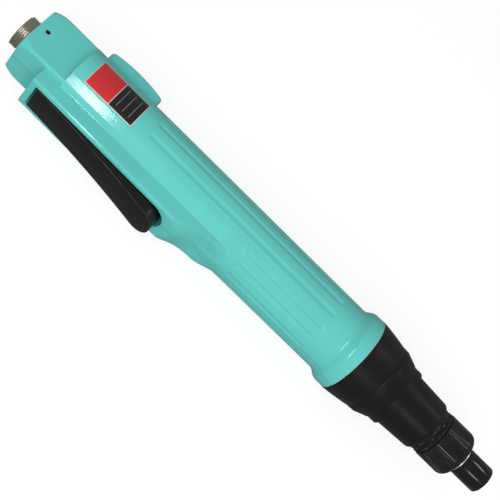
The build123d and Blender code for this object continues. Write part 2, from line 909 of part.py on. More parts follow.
def motor_bearings():
    """Bearings of the motor shaft, one in the can and one in the end cap."""
    bearings = []
    for front in (motor_front + motor_bearing_set_in, motor_rear + end_cap_floor):
        rear = front - motor_bearing_width
        bearings.append(ring(rear, front, motor_bearing_radius, shaft_radius + running_gap))
    return Compound(children=bearings)


def motor_magnets():
    """Two arc magnets inside the can."""
    outer = motor_radius - motor_can_wall
    front = core_front + magnet_overhang
    rear = core_rear - magnet_overhang
    shell = ring(rear, front, outer, outer - magnet_thickness)
    half = math.radians(magnet_half_angle)
    reach = 2 * motor_radius
    corner = (reach * math.cos(half), reach * math.sin(half))
    wedge = make_face(Polyline((0, 0), corner, (reach, 0), (corner[0], -corner[1]), close=True))
    sector = prism(wedge, rear - 1, front + 1)
    return Compound(children=[shell & sector, shell & (Rot(180, 0, 0) * sector)])


def rotor_slot():
    """One slot of the rotor core: a narrow mouth and a round winding space."""
    mouth = block(core_rear - 1, core_front + 1, -slot_mouth / 2, slot_mouth / 2, slot_centre, rotor_radius + 1)
    return mouth + Pos(0, 0, slot_centre) * disc(core_rear - 1, core_front + 1, slot_radius)


def rotor_core():
    """Slotted rotor core on the motor shaft."""
    body = ring(core_rear, core_front, rotor_radius, shaft_radius)
    for slot in around(rotor_slot(), pole_count):
        body -= slot
    return body


def rotor_windings():
    """End turns of the rotor windings, in front of and behind the core."""
    coil = block(core_front, core_front + coil_length, -coil_half_width, coil_half_width, coil_bottom, coil_top)
    coil = fillet(coil.edges().filter_by(Axis.Y).sort_by(Axis.X)[-2:], coil_rounding)
    back = mirror(coil, about=Plane.YZ.offset((core_front + core_rear) / 2))
    half_pitch = 180 / pole_count
    coils = around(coil, pole_count, half_pitch) + around(back, pole_count, half_pitch)
    return Compound(children=coils)


def commutator():
    """Segmented commutator behind the core."""
    rear = commutator_front - commutator_length
    body = ring(rear, commutator_front, commutator_radius, shaft_radius)
    cut = block(rear - 1, commutator_front - commutator_front_band, -commutator_slit / 2, commutator_slit / 2,
                commutator_slit_bottom, commutator_radius + 1)
    for slit in around(cut, pole_count):
        body -= slit
    return body


def motor_shaft():
    """Motor shaft from the rear bearing to the sun gear."""
    return disc(motor_rear + shaft_end_setback, first_planet_front, shaft_radius)


def motor_end_cap():
    """Plastic end cap with the brush holders and the rear bearing seat."""
    front = motor_rear + end_cap_length
    body = disc(motor_rear, front, motor_radius)
    spigot = motor_radius - motor_can_wall - running_gap
    body += ring(front, front + end_cap_spigot_length, spigot, spigot - end_cap_spigot_wall)
    body -= disc(motor_rear + end_cap_floor, front + 1, end_cap_hollow_radius)
    body -= disc(motor_rear + end_bearing_setback, front, motor_bearing_radius)
    return body - disc(motor_rear + shaft_hole_setback, front, shaft_radius + sliding_gap)


def motor_brushes():
    """Two carbon brushes against the commutator."""
    front = commutator_front - commutator_front_band
    brush = block(front - brush_length, front, -brush_half_width, brush_half_width,
                  commutator_radius + running_gap, brush_top)
    return Compound(children=around(brush, 2))


def screw_cone(y, z):
    """Countersunk motor screw along the spindle, head flush with the motor plate's front."""
    head = motor_screw_radius + motor_screw_head_extra
    outline = [
        (motor_front - motor_front_wall, 0),
        (motor_front - motor_front_wall, motor_screw_radius),
        (motor_plate_front - motor_screw_head_extra, motor_screw_radius),
        (motor_plate_front, head),
        (motor_plate_front, 0),
    ]
    return Pos(0, y, z) * turned(outline)


def motor_screws():
    """Two countersunk screws that hold the motor to its plate."""
    return Compound(children=[screw_cone(motor_screw_circle, 0), screw_cone(-motor_screw_circle, 0)])


def motor_mount():
    """Plate between the motor and the gear case."""
    body = disc(motor_front, motor_plate_front, case_bore)
    body -= disc(motor_front - 1, motor_front + motor_boss_length, motor_boss_radius)
    body -= disc(motor_front - 1, motor_plate_front + 1, shaft_radius + plate_hole_extra)
    return body - screw_cone(motor_screw_circle, 0) - screw_cone(-motor_screw_circle, 0)


# Housing

def barrel_solid():
    """Turned outer form: tapered rear, straight barrel, flared rim."""
    taper_front = rear_face + cap_taper_length
    crest = flare_start + flare_rise_length
    edge = rim - rim_edge_length
    lines = [
        Line((rear_face, 0), (rear_face, cap_rear_radius)),
        ThreePointArc(
            (rear_face, cap_rear_radius),
            (rear_face + cap_taper_length * 0.45, (cap_rear_radius + 2 * barrel_radius) / 3 + cap_taper_bulge),
            (taper_front, barrel_radius),
        ),
        Line((taper_front, barrel_radius), (flare_start, barrel_radius)),
        Spline((flare_start, barrel_radius), (crest, rim_radius), tangents=((1, 0), (1, 0.02))),
        Line((crest, rim_radius), (edge, rim_radius + rim_swell)),
        Line((edge, rim_radius + rim_swell), (rim, rim_radius - rim_edge)),
        Line((rim, rim_radius - rim_edge), (rim, 0)),
        Line((rim, 0), (rear_face, 0)),
    ]
    return turned_curve(*lines)


def cut_flats(body):
    """Four flats round the rear end, up to the shoulder."""
    reach = 2 * barrel_radius
    slab = block(rear_face - 1, shoulder, -reach, reach, cap_flat_distance, reach)
    for quarter in around(slab, 4):
        body -= quarter
    return body


def boss_section(x, height):
    """Cross-section of the lever boss at one station."""
    half_height = height / 2
    sheet = Pos(-half_height, 0) * RectangleRounded(height, 2 * boss_half_width, boss_edge)
    return Plane.YZ.offset(x) * sheet


def boss_solid():
    """Lever boss: rising block with rounded edges, its front ending in a concave ramp."""
    end = boss_centre + boss_crest + boss_ramp_length
    whole = loft([boss_section(boss_rear, boss_rear_height), boss_section(end, boss_front_height)])
    reach = boss_crest + boss_ramp_length
    foot = barrel_radius - boss_foot_depth
    crest_height = boss_front_height
    crest_end = boss_crest - boss_crest_edge
    middle = boss_crest + ramp_middle_share * boss_ramp_length
    middle_height = foot + (crest_height - foot) * ramp_middle_rise
    lines = [
        Line((0, 0), (0, -crest_height)),
        Line((0, -crest_height), (crest_end, -crest_height)),
        Spline((crest_end, -crest_height), (middle, -middle_height), (reach, -foot), tangents=((1, 0), (1, 0))),
        Line((reach, -foot), (reach, 0)),
        Line((reach, 0), (0, 0)),
    ]
    ramp = Pos(boss_centre, 0, 0) * revolve(make_face(Curve() + lines), axis=Axis.Y)
    front_zone = block(boss_centre, end, -2 * barrel_radius, 0, -boss_half_width, boss_half_width)
    rear_zone = block(boss_rear, boss_centre, -2 * barrel_radius, 0, -boss_half_width, boss_half_width)
    return (whole & rear_zone) + (whole & ramp & front_zone)


def stadium(x0, tip, half_width, y0, y1):
    """Upright prism with a square rear end and a half-round front end, seen along Y."""
    centre = tip - half_width
    prism_part = block(x0, centre, y0, y1, -half_width, half_width)
    return prism_part + upright(centre, y0, y1, half_width)


def guard_solid():
    """Guard round the direction switch: rounded block with a gently arched crown."""
    front = guard_rear + guard_length
    profile = Curve() + [
        Line((guard_rear, 0), (guard_rear, guard_end_height)),
        ThreePointArc(
            (guard_rear, guard_end_height), (guard_middle, guard_crown_height), (front, guard_end_height)
        ),
        Line((front, guard_end_height), (front, 0)),
        Line((front, 0), (guard_rear, 0)),
    ]
    body = extrude(make_face(profile), amount=guard_half_width, both=True)
    uprights = body.edges().filter_by(Axis.Y)
    body = fillet(uprights, guard_corner)
    crown = body.faces().sort_by(Axis.Y)[-1]
    return fillet(crown.edges(), guard_crown_edge)


def flute(length, rear):
    """Shallow round-ended flute on top of the barrel."""
    height = barrel_radius + flute_radius - flute_depth
    front = rear + length
    tool = Pos(0, 0, height) * disc(rear + flute_radius, front - flute_radius, flute_radius)
    tool += Pos(rear + flute_radius, 0, height) * Sphere(flute_radius)
    return tool + Pos(front - flute_radius, 0, height) * Sphere(flute_radius)


def cut_flutes(body):
    """Flutes all round the grip, shorter ones in front of the lever."""
    front = flare_start - flute_front_margin
    for index in range(flute_count):
        turn = 360 * index / flute_count + 180 / flute_count
        towards_lever = math.sin(math.radians(turn))
        length = short_flute_length if towards_lever > 0.5 else flute_length
        body -= Rot(turn, 0, 0) * flute(length, front - length)
    return body


def screw_places():
    """Centres of the housing screws."""
    rear_x = shoulder - rear_screw_offset
    front_x = front_screw_x
    rear_y = cap_cavity_half - post_radius + post_bite
    front_y = front_screw_distance
    return [(rear_x, rear_y), (rear_x, -rear_y), (front_x, front_y), (front_x, -front_y)]


def cavity():
    """Space inside the housing, with ribs for the motor and a floor over the lever's recess."""
    front = rim + 1
    skirt = rim - collar_skirt_length - end_float
    space = disc(shoulder + wall, front, cavity_radius)
    space += disc(skirt, front, collar_skirt_radius + sliding_gap)
    half = cap_cavity_half
    cap = block(wall_front, shoulder + 2 * wall, -half, half, -half, half)
    space += cap & disc(rear_face, shoulder + 3 * wall, cavity_radius)
    space -= block(boss_rear, recess_tip + wall, -2 * barrel_radius, lever_floor, -barrel_radius, barrel_radius)
    roof = guard_end_height - guard_roof
    space += block(guard_rear + wall, guard_rear + guard_length - wall, 0, roof,
                   -guard_half_width + wall, guard_half_width - wall)
    rib = motor_rib_width / 2
    for x in (motor_rear + motor_rib_margin, (motor_rear + motor_front) / 2, motor_front - motor_rib_margin):
        space -= ring(x - rib, x + rib, barrel_radius, motor_radius + running_gap)
    stop_front = motor_rear - motor_stop_gap
    stop = ring(stop_front - motor_rib_width, stop_front, barrel_radius, motor_radius - motor_stop_overlap)
    return space - stop


def screw_posts():
    """Posts for the housing screws, joined to both shells."""
    posts = Part()
    for x, y in screw_places():
        height = barrel_radius if x > shoulder else cap_flat_distance
        posts += Pos(x, y, 0) * Cylinder(post_radius, 2 * height)
    return posts


def housing_body():
    """Both shells together, before they are split at z = 0."""
    outer = cut_flats(barrel_solid())
    outer += boss_solid()
    outer += guard_solid()
    outer = cut_flutes(outer)
    body = outer - cavity()
    body += screw_posts() & outer
    body -= stadium(recess_rear, recess_tip, recess_half_width, -2 * barrel_radius, -recess_floor)
    body -= upright(plunger_x, -recess_floor - 1, lever_floor + 1, plunger_radius + running_gap)
    body -= crossways(pivot_x, -lever_pivot_height, recess_half_width + lever_pin_bite, lever_pin_radius)
    window = rocker_half_length + rocker_window_gap
    side = rocker_half_width + rocker_window_gap / 2
    body -= block(guard_middle - window, guard_middle + window, rocker_pivot_height, 2 * barrel_radius,
                  -side, side)
    body -= disc(rear_face - 1, wall_front + 1, connector_shank_radius + running_gap)
    screw_hole = 2 * (cap_flat_distance - set_screw_hole_bottom)
    body -= Pos(rear_face + set_screw_offset, 0, cap_flat_distance) * Cylinder(set_screw_radius, screw_hole)
    return body


def housing_tongue():
    """Lip of the housing's rim that the nose collar's groove holds together."""
    inner = collar_skirt_radius + sliding_gap
    return ring(rim, rim + collar_tongue_depth - sliding_gap, tongue_outer_radius, inner)


def half_space(sign):
    """Box that covers one side of the split plane."""
    reach = 2 * barrel_radius
    return block(rear_face - wall, rim + collar_skirt_length, -reach, reach, 0, sign * reach)


def housing_top(body):
    """Label-side shell, with pilot holes for the screws."""
    shell = body & half_space(1)
    for x, y in screw_places():
        shell -= Pos(x, y, 0) * Cylinder(screw_radius, 2 * screw_hole_reach)
    return shell


def screw_seat(x):
    """Depth of the screw heads' seat below the split plane."""
    return front_screw_seat if x > shoulder else rear_screw_seat


def housing_bottom(body):
    """Back shell, with counterbored holes for the screws."""
    shell = body & half_space(-1)
    for x, y in screw_places():
        seat = screw_seat(x)
        depth = 2 * barrel_radius
        shell -= Pos(x, y, 0) * Cylinder(screw_radius + running_gap, 2 * seat)
        shell -= Pos(x, y, -seat - depth / 2) * Cylinder(screw_head_radius + sliding_gap, depth)
    return shell


def housing_screws():
    """Four pan-head screws from the back."""
    screws = []
    for x, y in screw_places():
        seat = screw_seat(x)
        shank = Pos(x, y, (screw_reach - seat) / 2) * Cylinder(screw_radius, screw_reach + seat)
        head = Pos(x, y, -seat - screw_head_height / 2) * Cylinder(screw_head_radius, screw_head_height)
        slot = Pos(x, y, -seat - screw_head_height)
        head -= slot * Box(screw_slot_length, screw_slot_width, 2 * screw_slot_depth)
        head -= slot * Box(screw_slot_width, screw_slot_length, 2 * screw_slot_depth)
        screws.append(shank + head)
    return Compound(children=screws)


def label_plate():
    """Curved label plate on top of the barrel."""
    rear = shoulder + label_rear_margin
    shell = ring(rear, rear + label_length, barrel_radius + label_thickness, barrel_radius)
    half_width = barrel_radius * math.sin(math.radians(label_half_angle))
    return shell & block(rear - 1, rear + label_length + 1, -half_width, half_width, 0, 2 * barrel_radius)


# Connector at the rear end

def connector_shell():
    """Threaded connector shell, held by its flange inside the rear wall."""
    flange_front = wall_front + connector_flange_width
    body = disc(connector_end, connector_thread_front, connector_radius)
    body += disc(connector_thread_front, wall_front, connector_shank_radius)
    body += disc(wall_front, flange_front, connector_flange_radius)
    body += disc(flange_front, insert_front, connector_body_radius)
    body = chamfer(body.edges().filter_by(GeomType.CIRCLE).sort_by(Axis.X)[0], connector_edge)
    return body - disc(connector_end - 1, insert_front + 1, connector_radius - connector_wall)


def pin_places():
    """Centres of the contact pins."""
    places = []
    for index in range(pin_count):
        angle = math.radians(90 + 360 * index / pin_count)
        places.append((pin_circle_radius * math.cos(angle), pin_circle_radius * math.sin(angle)))
    return places


def connector_insert():
    """Insulating insert that holds the pins."""
    rear = connector_end + insert_setback
    body = disc(rear, insert_front, connector_radius - connector_wall)
    for y, z in pin_places():
        body -= Pos(0, y, z) * disc(rear - 1, insert_front + 1, pin_radius)
    return body


def connector_pins():
    """Contact pins with their solder ends."""
    pins = []
    for y, z in pin_places():
        pins.append(Pos(0, y, z) * disc(connector_end + pin_setback, insert_front + pin_tail, pin_radius))
    return Compound(children=pins)


def connector_screw():
    """Small set screw that locks the connector's flange."""
    x = rear_face + set_screw_offset
    bottom = connector_flange_radius + running_gap
    top = cap_flat_distance - set_screw_depth
    screw = Pos(x, 0, (bottom + top) / 2) * Cylinder(set_screw_radius, top - bottom)
    socket = Plane(origin=(x, 0, top), z_dir=(0, 0, -1)) * RegularPolygon(set_screw_socket_radius, 6)
    return screw - extrude(socket, amount=set_screw_socket_depth)


# Lever, start switch and direction switch

def lever_block(inset, plan_inset, lower):
    """Side view of the lever cut by its plan, offset inwards for the hollow."""
    middle_x = (lever_rear + lever_tip) / 2
    profile = Curve() + [
        Line((lever_rear, lower - lever_lower_rear), (lever_rear, inset - lever_rear_height)),
        ThreePointArc(
            (lever_rear, inset - lever_rear_height),
            (middle_x, inset - lever_mid_height),
            (lever_tip, inset - lever_tip_height),
        ),
        Line((lever_tip, inset - lever_tip_height), (lever_tip, lower - lever_lower_front)),
        Line((lever_tip, lower - lever_lower_front), (lever_rear, lower - lever_lower_rear)),
    ]
    side = extrude(make_face(profile), amount=lever_half_width, both=True)
    half = lever_half_width - plan_inset
    tip = lever_tip - plan_inset
    return side & stadium(lever_rear - 1, tip, half, -2 * lever_tip_height, 0)


def lever():
    """Start lever: curved channel with a rounded tip, a pad over the plunger and a pivot hole."""
    body = lever_block(0, 0, 0)
    rim_edges = body.faces().sort_by(Axis.Y)[0].edges()
    body = fillet(rim_edges, lever_rounding)
    hollow = lever_block(lever_wall, lever_wall, 2 * lever_wall)
    hollow &= block(pivot_x + lever_hollow_start, lever_tip, -2 * lever_tip_height, 0,
                    -lever_half_width, lever_half_width)
    body -= hollow
    body += block(plunger_x - lever_pad_half_length, plunger_x + lever_pad_half_length,
                  lever_wall / 2 - lever_mid_height, -lever_pad_height,
                  lever_wall - lever_half_width, lever_half_width - lever_wall)
    return body - crossways(pivot_x, -lever_pivot_height, lever_half_width + 1, lever_pin_radius + running_gap)


def lever_pin():
    """Pin that the lever swings on."""
    return crossways(pivot_x, -lever_pivot_height, recess_half_width + lever_pin_bite, lever_pin_radius)


def lever_spring():
    """Spring that pushes the lever out."""
    x = lever_spring_x
    share = (x - lever_rear) / (lever_tip - lever_rear)
    rise = lever_tip_height - lever_rear_height
    sag = 4 * (lever_mid_height - (lever_rear_height + lever_tip_height) / 2) * share * (1 - share)
    top = lever_rear_height + rise * share + sag - lever_wall
    length = top - recess_floor - sliding_gap
    spring = coil_spring(length, lever_spring_radius, lever_spring_wire, lever_spring_turns)
    return Pos(x, -recess_floor, 0) * Rot(90, 0, 0) * spring


def start_switch():
    """Start switch body with the bore for its plunger and two terminals."""
    x0 = plunger_x - switch_length / 2
    top = lever_floor + switch_height
    body = block(x0, x0 + switch_length, lever_floor, top, -switch_half_width, switch_half_width)
    stroke_room = plunger_seat + plunger_stroke + end_float
    body -= upright(plunger_x, lever_floor - 1, lever_floor + stroke_room, plunger_radius + running_gap)
    for share in terminal_shares:
        x = x0 + share * switch_length
        body += block(x - terminal_thickness / 2, x + terminal_thickness / 2, top, top + terminal_height,
                      -terminal_half_width, terminal_half_width)
    return body


def switch_plunger():
    """Plunger between the lever's pad and the switch."""
    outer = -lever_pad_height + plunger_gap
    inner = lever_floor + plunger_seat
    return upright(plunger_x, outer, inner, plunger_radius)


def direction_switch():
    """Body of the direction switch with two ears for the rocker's pin."""
    swing = rocker_foot_half * math.sin(math.radians(rocker_swing_deg))
    base_top = rocker_pivot_height - rocker_foot_drop - swing - loose_gap
    outer = rocker_half_width + ear_outer_gap
    half = direction_body_half_length
    body = block(guard_middle - half, guard_middle + half, direction_body_floor, base_top, -outer, outer)
    for sign in (-1, 1):
        body += block(guard_middle - ear_half_length, guard_middle + ear_half_length,
                      base_top, base_top + ear_height, sign * (rocker_half_width + ear_gap), sign * outer)
    return body - crossways(guard_middle, rocker_pivot_height, outer + 1, rocker_pin_radius + running_gap)


def direction_rocker():
    """Rocker with a dished top and its pin."""
    x = guard_middle
    half = rocker_half_length
    top = rocker_top_height
    side = top - rocker_side_height
    foot = rocker_pivot_height - rocker_foot_drop
    foot_half = rocker_foot_half
    profile = Curve() + [
        Line((x - foot_half, foot), (x - half, side)),
        Line((x - half, side), (x - half, top)),
        ThreePointArc((x - half, top), (x, top - rocker_dish), (x + half, top)),
        Line((x + half, top), (x + half, side)),
        Line((x + half, side), (x + foot_half, foot)),
        Line((x + foot_half, foot), (x - foot_half, foot)),
    ]
    body = extrude(make_face(profile), amount=rocker_half_width, both=True)
    return body + crossways(x, rocker_pivot_height, rocker_half_width + rocker_pin_reach, rocker_pin_radius)


# Circuit board

def circuit_board():
    """Board under the label side, with mounting holes."""
    body = block(board_rear, board_front, -board_half_width, board_half_width,
                 board_height, board_height + board_thickness)
    for x in (board_rear + board_hole_margin, board_front - board_hole_margin):
        body -= Pos(x, 0, board_height) * Cylinder(board_hole_radius, 4 * board_thickness)
    return body


def board_parts():
    """Capacitors, a relay and transistors on the board's underside."""
    capacitor_x = board_front - capacitor_margin
    capacitor_middle = board_height - capacitor_length / 2
    parts = []
    for y in capacitor_places:
        parts.append(Pos(capacitor_x, y, capacitor_middle) * Cylinder(capacitor_radius, capacitor_length))
    relay_front = board_front - relay_margin
    parts.append(block(relay_front - relay_length, relay_front, -relay_half_width, relay_half_width,
                       board_height - relay_height, board_height))
    chip_rear = board_rear + chip_margin
    for y in chip_places:
        parts.append(block(chip_rear, chip_rear + chip_length, y - chip_half_width, y + chip_half_width,
                           board_height - chip_height, board_height))
    return Compound(children=parts)


def main():
    """Build every node and write it."""
    os.makedirs("parts", exist_ok=True)
    body = housing_body() + housing_tongue()
    save("housing_top", housing_top(body))
    save("housing_bottom", housing_bottom(body))
    save("housing_screws", housing_screws())
    save("label_plate", label_plate())
    save("connector_shell", connector_shell())
    save("connector_insert", connector_insert())
    save("connector_pins", connector_pins())
    save("connector_screw", connector_screw())
    save("circuit_board", circuit_board())
    save("board_parts", board_parts())
    save("lever", lever())
    save("lever_pin", lever_pin())
    save("lever_spring", lever_spring())
    save("start_switch", start_switch())
    save("switch_plunger", switch_plunger())
    save("direction_switch", direction_switch())
    save("direction_rocker", direction_rocker())
    save("motor_can", motor_can())
    save("motor_magnets", motor_magnets())
    save("motor_end_cap", motor_end_cap())
    save("motor_brushes", motor_brushes())
    save("motor_bearings", motor_bearings())
    save("motor_shaft", motor_shaft())
    save("rotor_core", rotor_core())
    save("rotor_windings", rotor_windings())
    save("commutator", commutator())
    save("motor_plate", motor_mount())
    save("motor_screws", motor_screws())
    save("gear_case", gear_case())
    save("ring_gear", ring_gear())
    save("sun_gear", sun_gear())
    for index in range(planet_count):
        name = str(index + 1)
        save("first_planet_" + name, planet(index, first_planet_rear, first_planet_front))
        save("second_planet_" + name, planet(index, second_planet_rear, second_planet_front))
    save("first_carrier", first_carrier())
    save("first_planet_pins", planet_pins(first_planet_rear, first_carrier_front))
    save("second_carrier", second_carrier())
    save("second_planet_pins", planet_pins(second_planet_rear, second_carrier_front - end_float))
    save("spindle", spindle())
    save("bearing_outer_race", bearing_outer_race())
    save("bearing_inner_race", bearing_inner_race())
    save("bearing_balls", bearing_balls())
    save("clutch_balls", clutch_balls())
    save("pressure_plate", pressure_plate())
    save("push_sleeve", push_sleeve())
    save("torque_spring", torque_spring())
    save("spring_seat", spring_seat())
    save("spindle_bush", spindle_bush())
    save("nose_collar", nose_collar())
    save("nose_tube", nose_tube())
    save("torque_nut", torque_nut())
    save("coupler_washer", coupler_washer())
    save("coupler", coupler())
    save("coupler_spring", coupler_spring())
    save("lock_ball", lock_ball())
    save("retaining_ring", retaining_ring())


main()
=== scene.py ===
"""Looks of the straight lever-start electric torque screwdriver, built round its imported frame."""

import logging
import math
from dataclasses import dataclass
from enum import Enum
from typing import Any, Callable, Mapping, Sequence

import bmesh
import bpy
from mathutils import Matrix, Vector


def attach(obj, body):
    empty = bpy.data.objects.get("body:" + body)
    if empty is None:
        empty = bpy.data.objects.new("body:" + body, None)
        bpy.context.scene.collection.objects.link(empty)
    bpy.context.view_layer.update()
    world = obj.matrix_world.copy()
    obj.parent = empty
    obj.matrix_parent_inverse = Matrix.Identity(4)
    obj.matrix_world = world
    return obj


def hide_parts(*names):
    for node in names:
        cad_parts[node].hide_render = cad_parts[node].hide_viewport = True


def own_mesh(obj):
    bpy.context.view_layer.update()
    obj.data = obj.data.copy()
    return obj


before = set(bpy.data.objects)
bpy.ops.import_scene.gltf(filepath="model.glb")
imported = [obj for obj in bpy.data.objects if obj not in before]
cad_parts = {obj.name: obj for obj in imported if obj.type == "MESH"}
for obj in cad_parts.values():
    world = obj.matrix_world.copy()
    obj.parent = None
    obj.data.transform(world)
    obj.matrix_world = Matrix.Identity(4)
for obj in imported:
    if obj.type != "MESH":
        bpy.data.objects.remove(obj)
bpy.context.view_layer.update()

log = logging.getLogger("screwdriver")

Socket = bpy.types.NodeSocket
Colour = tuple[int, int, int]
Shade = tuple[float, float, float, float]
Place = tuple[float, float, float]

MM = 0.001

# Vertices closer than this are one, in metres
TOUCH = 1e-6

# How near a vertex is to a line that it lies on, and how far past a face a choice reaches, in millimetres
NEAR = 0.001
MARGIN = 0.1

WHITE: Shade = (1.0, 1.0, 1.0, 1.0)
BLACK: Shade = (0.0, 0.0, 0.0, 1.0)

# The label, in millimetres along the spindle and degrees to each side of its middle
LABEL_REAR = -251.5
LABEL_FRONT = -225.0
LABEL_HALF_ANGLE = 24.8


class Axis(Enum):
    """The three axes of the tool."""

    SPINDLE = "X"
    SWITCH = "Y"
    LABEL = "Z"


class Cut(Enum):
    """What is left of a piece that another one cuts."""

    REST = "DIFFERENCE"
    SHARED = "INTERSECT"


# Colours and node helpers


def linear(colour: Colour) -> Shade:
    """Turn a colour as a screen shows it into the renderer's own numbers.

    Args:
        colour: red, green and blue, 0 to 255.

    Returns:
        The colour as linear red, green, blue and alpha.
    """
    parts = []
    for value in colour:
        share = value / 255
        parts.append(share / 12.92 if share <= 0.04045 else ((share + 0.055) / 1.055) ** 2.4)
    return (parts[0], parts[1], parts[2], 1.0)


def shaded(colour: Colour, share: float) -> Shade:
    """Linear colour of a screen colour, made darker or lighter by a share."""
    red, green, blue, alpha = linear(colour)
    return (red * share, green * share, blue * share, alpha)


class Tree:
    """Short way to add and wire nodes in one material, world or node group."""

    def __init__(self, tree: bpy.types.NodeTree) -> None:
        """Keep the tree that nodes are added to."""
        self.tree = tree

    @classmethod
    def emptied(cls, owner: bpy.types.Material | bpy.types.World) -> "Tree":
        """Empty the node tree of a new material or world.

        Args:
            owner: the material or world.

        Returns:
            Its tree, ready to be wired.
        """
        owner.use_nodes = True
        owner.node_tree.nodes.clear()
        return cls(owner.node_tree)

    def feed(self, node: bpy.types.Node, inputs: Mapping[Any, Any]) -> None:
        """Set or wire a node's inputs.

        Args:
            node: the node that is fed.
            inputs: input name or number to a value, or to the output socket it is wired from.
        """
        for key, value in inputs.items():
            if isinstance(value, Socket):
                self.tree.links.new(value, node.inputs[key])
            else:
                node.inputs[key].default_value = value

    def add(self, kind: str, inputs: Mapping[Any, Any] | None = None, **settings: Any) -> bpy.types.Node:
        """Add one node, set its options, and set or wire its inputs.

        Args:
            kind: Blender's name of the node type.
            inputs: input name or number to a value, or to the output socket it is wired from.
            settings: options of the node, such as operation="ADD".

        Returns:
            The new node.
        """
        made = self.tree.nodes.new(kind)
        for name, value in settings.items():
            setattr(made, name, value)
        self.feed(made, inputs or {})
        return made

    def math(self, operation: str, *values: Any, clamp: bool = False) -> Socket:
        """Add a Math node.

        Args:
            operation: Blender's name of the operation.
            values: numbers or sockets, in the order of the node's inputs.
            clamp: keep the result between 0 and 1.

        Returns:
            The result's socket.
        """
        inputs = dict(enumerate(values))
        return self.add("ShaderNodeMath", inputs, operation=operation, use_clamp=clamp).outputs[0]

    def mix(self, share: Any, first: Any, second: Any) -> Socket:
        """Mix two colours by the second one's share and return the mixed one's socket."""
        return self.add("ShaderNodeMix", {0: share, 6: first, 7: second}, data_type="RGBA").outputs[2]

    def part(self, place: Socket, axis: Axis) -> Socket:
        """One of a place's three parts, by its axis."""
        return self.add("ShaderNodeSeparateXYZ", {0: place}).outputs[axis.value]

    def span(self, value: Any, low: float, high: float, to_low: float = 0.0, to_high: float = 1.0) -> Socket:
        """Map a value from one range to another, held inside it, and return its socket."""
        inputs = {"Value": value, "From Min": low, "From Max": high, "To Min": to_low, "To Max": to_high}
        return self.add("ShaderNodeMapRange", inputs).outputs["Result"]

    def band(self, value: Any, middle: float, half: float, soft: float) -> Socket:
        """Mask that is 1 within half of a middle value and fades out over soft, all in millimetres."""
        away = self.math("ABSOLUTE", self.math("SUBTRACT", value, middle * MM))
        return self.span(away, half * MM, (half + soft) * MM, 1.0, 0.0)


# Effects shared by the finishes


class Effect:
    """One shader node group with named sockets, built the first time it is asked for."""

    title = "effect"
    takes: tuple[tuple[str, str, Any], ...] = ()
    gives: tuple[tuple[str, str], ...] = ()

    def wire(self, tree: Tree, given: Mapping[str, Socket]) -> dict[str, Socket]:
        """Wire the group.

        Args:
            tree: the group's tree.
            given: the group's inputs by name.

        Returns:
            The group's outputs by name.
        """
        raise NotImplementedError

    def group(self) -> bpy.types.NodeTree:
        """Build the node group once.

        Returns:
            The node group.
        """
        found = bpy.data.node_groups.get(self.title)
        if found is not None:
            return found
        made = bpy.data.node_groups.new(self.title, "ShaderNodeTree")
        for name, kind, value in self.takes:
            socket = made.interface.new_socket(name, in_out="INPUT", socket_type="NodeSocket" + kind)
            if value is not None:
                socket.default_value = value
        for name, kind in self.gives:
            made.interface.new_socket(name, in_out="OUTPUT", socket_type="NodeSocket" + kind)
        tree = Tree(made)
        tree.add("NodeGroupOutput", self.wire(tree, tree.add("NodeGroupInput").outputs))
        return made

    def place(self, tree: Tree, **inputs: Any) -> bpy.types.Node:
        """Place the group in a material with its own values.

        Args:
            tree: the material's tree.
            inputs: the group's inputs by name.

        Returns:
            The group's node.
        """
        made = tree.add("ShaderNodeGroup")
        made.node_tree = self.group()
        tree.feed(made, inputs)
        return made


class Grain(Effect):
    """Fine moulded or blasted texture: two noises added up."""

    title = "moulded_grain"
    takes = (("Vector", "Vector", None), ("Grains", "Float", 900.0))
    gives = (("Height", "Float"),)
    coarse_share = 0.13
    coarse_height = 0.6

    def wire(self, tree: Tree, given: Mapping[str, Socket]) -> dict[str, Socket]:
        """Add a fine and a coarser noise of the surface's own place.

        Args:
            tree: the group's tree.
            given: place and number of grains.

        Returns:
            Height of the texture.
        """
        place = given["Vector"]
        wide = tree.math("MULTIPLY", given["Grains"], self.coarse_share)
        fine = tree.add("ShaderNodeTexNoise", {"Vector": place, "Scale": given["Grains"], "Detail": 3.0})
        coarse = tree.add("ShaderNodeTexNoise", {"Vector": place, "Scale": wide, "Detail": 2.0})
        swell = tree.math("MULTIPLY", coarse.outputs[0], self.coarse_height)
        return {"Height": tree.math("ADD", fine.outputs[0], swell)}


class Handling(Effect):
    """Soft smudges from handling, as a value between two limits."""

    title = "handling_smudges"
    takes = (("Vector", "Vector", None), ("Scale", "Float", 40.0), ("Low", "Float", 0.2),
             ("High", "Float", 0.4))
    gives = (("Value", "Float"), ("Mask", "Float"))

    def wire(self, tree: Tree, given: Mapping[str, Socket]) -> dict[str, Socket]:
        """Stretch a slow noise over the range.

        Args:
            tree: the group's tree.
            given: place, scale and the two limits.

        Returns:
            The value, and the mask of the smudges.
        """
        noise = tree.add("ShaderNodeTexNoise", {
            "Vector": given["Vector"], "Scale": given["Scale"], "Detail": 5.0, "Roughness": 0.62,
            "Distortion": 0.4})
        mask = tree.span(noise.outputs[0], low=0.34, high=0.68)
        spread = tree.math("SUBTRACT", given["High"], given["Low"])
        return {"Value": tree.math("ADD", given["Low"], tree.math("MULTIPLY", mask, spread)), "Mask": mask}


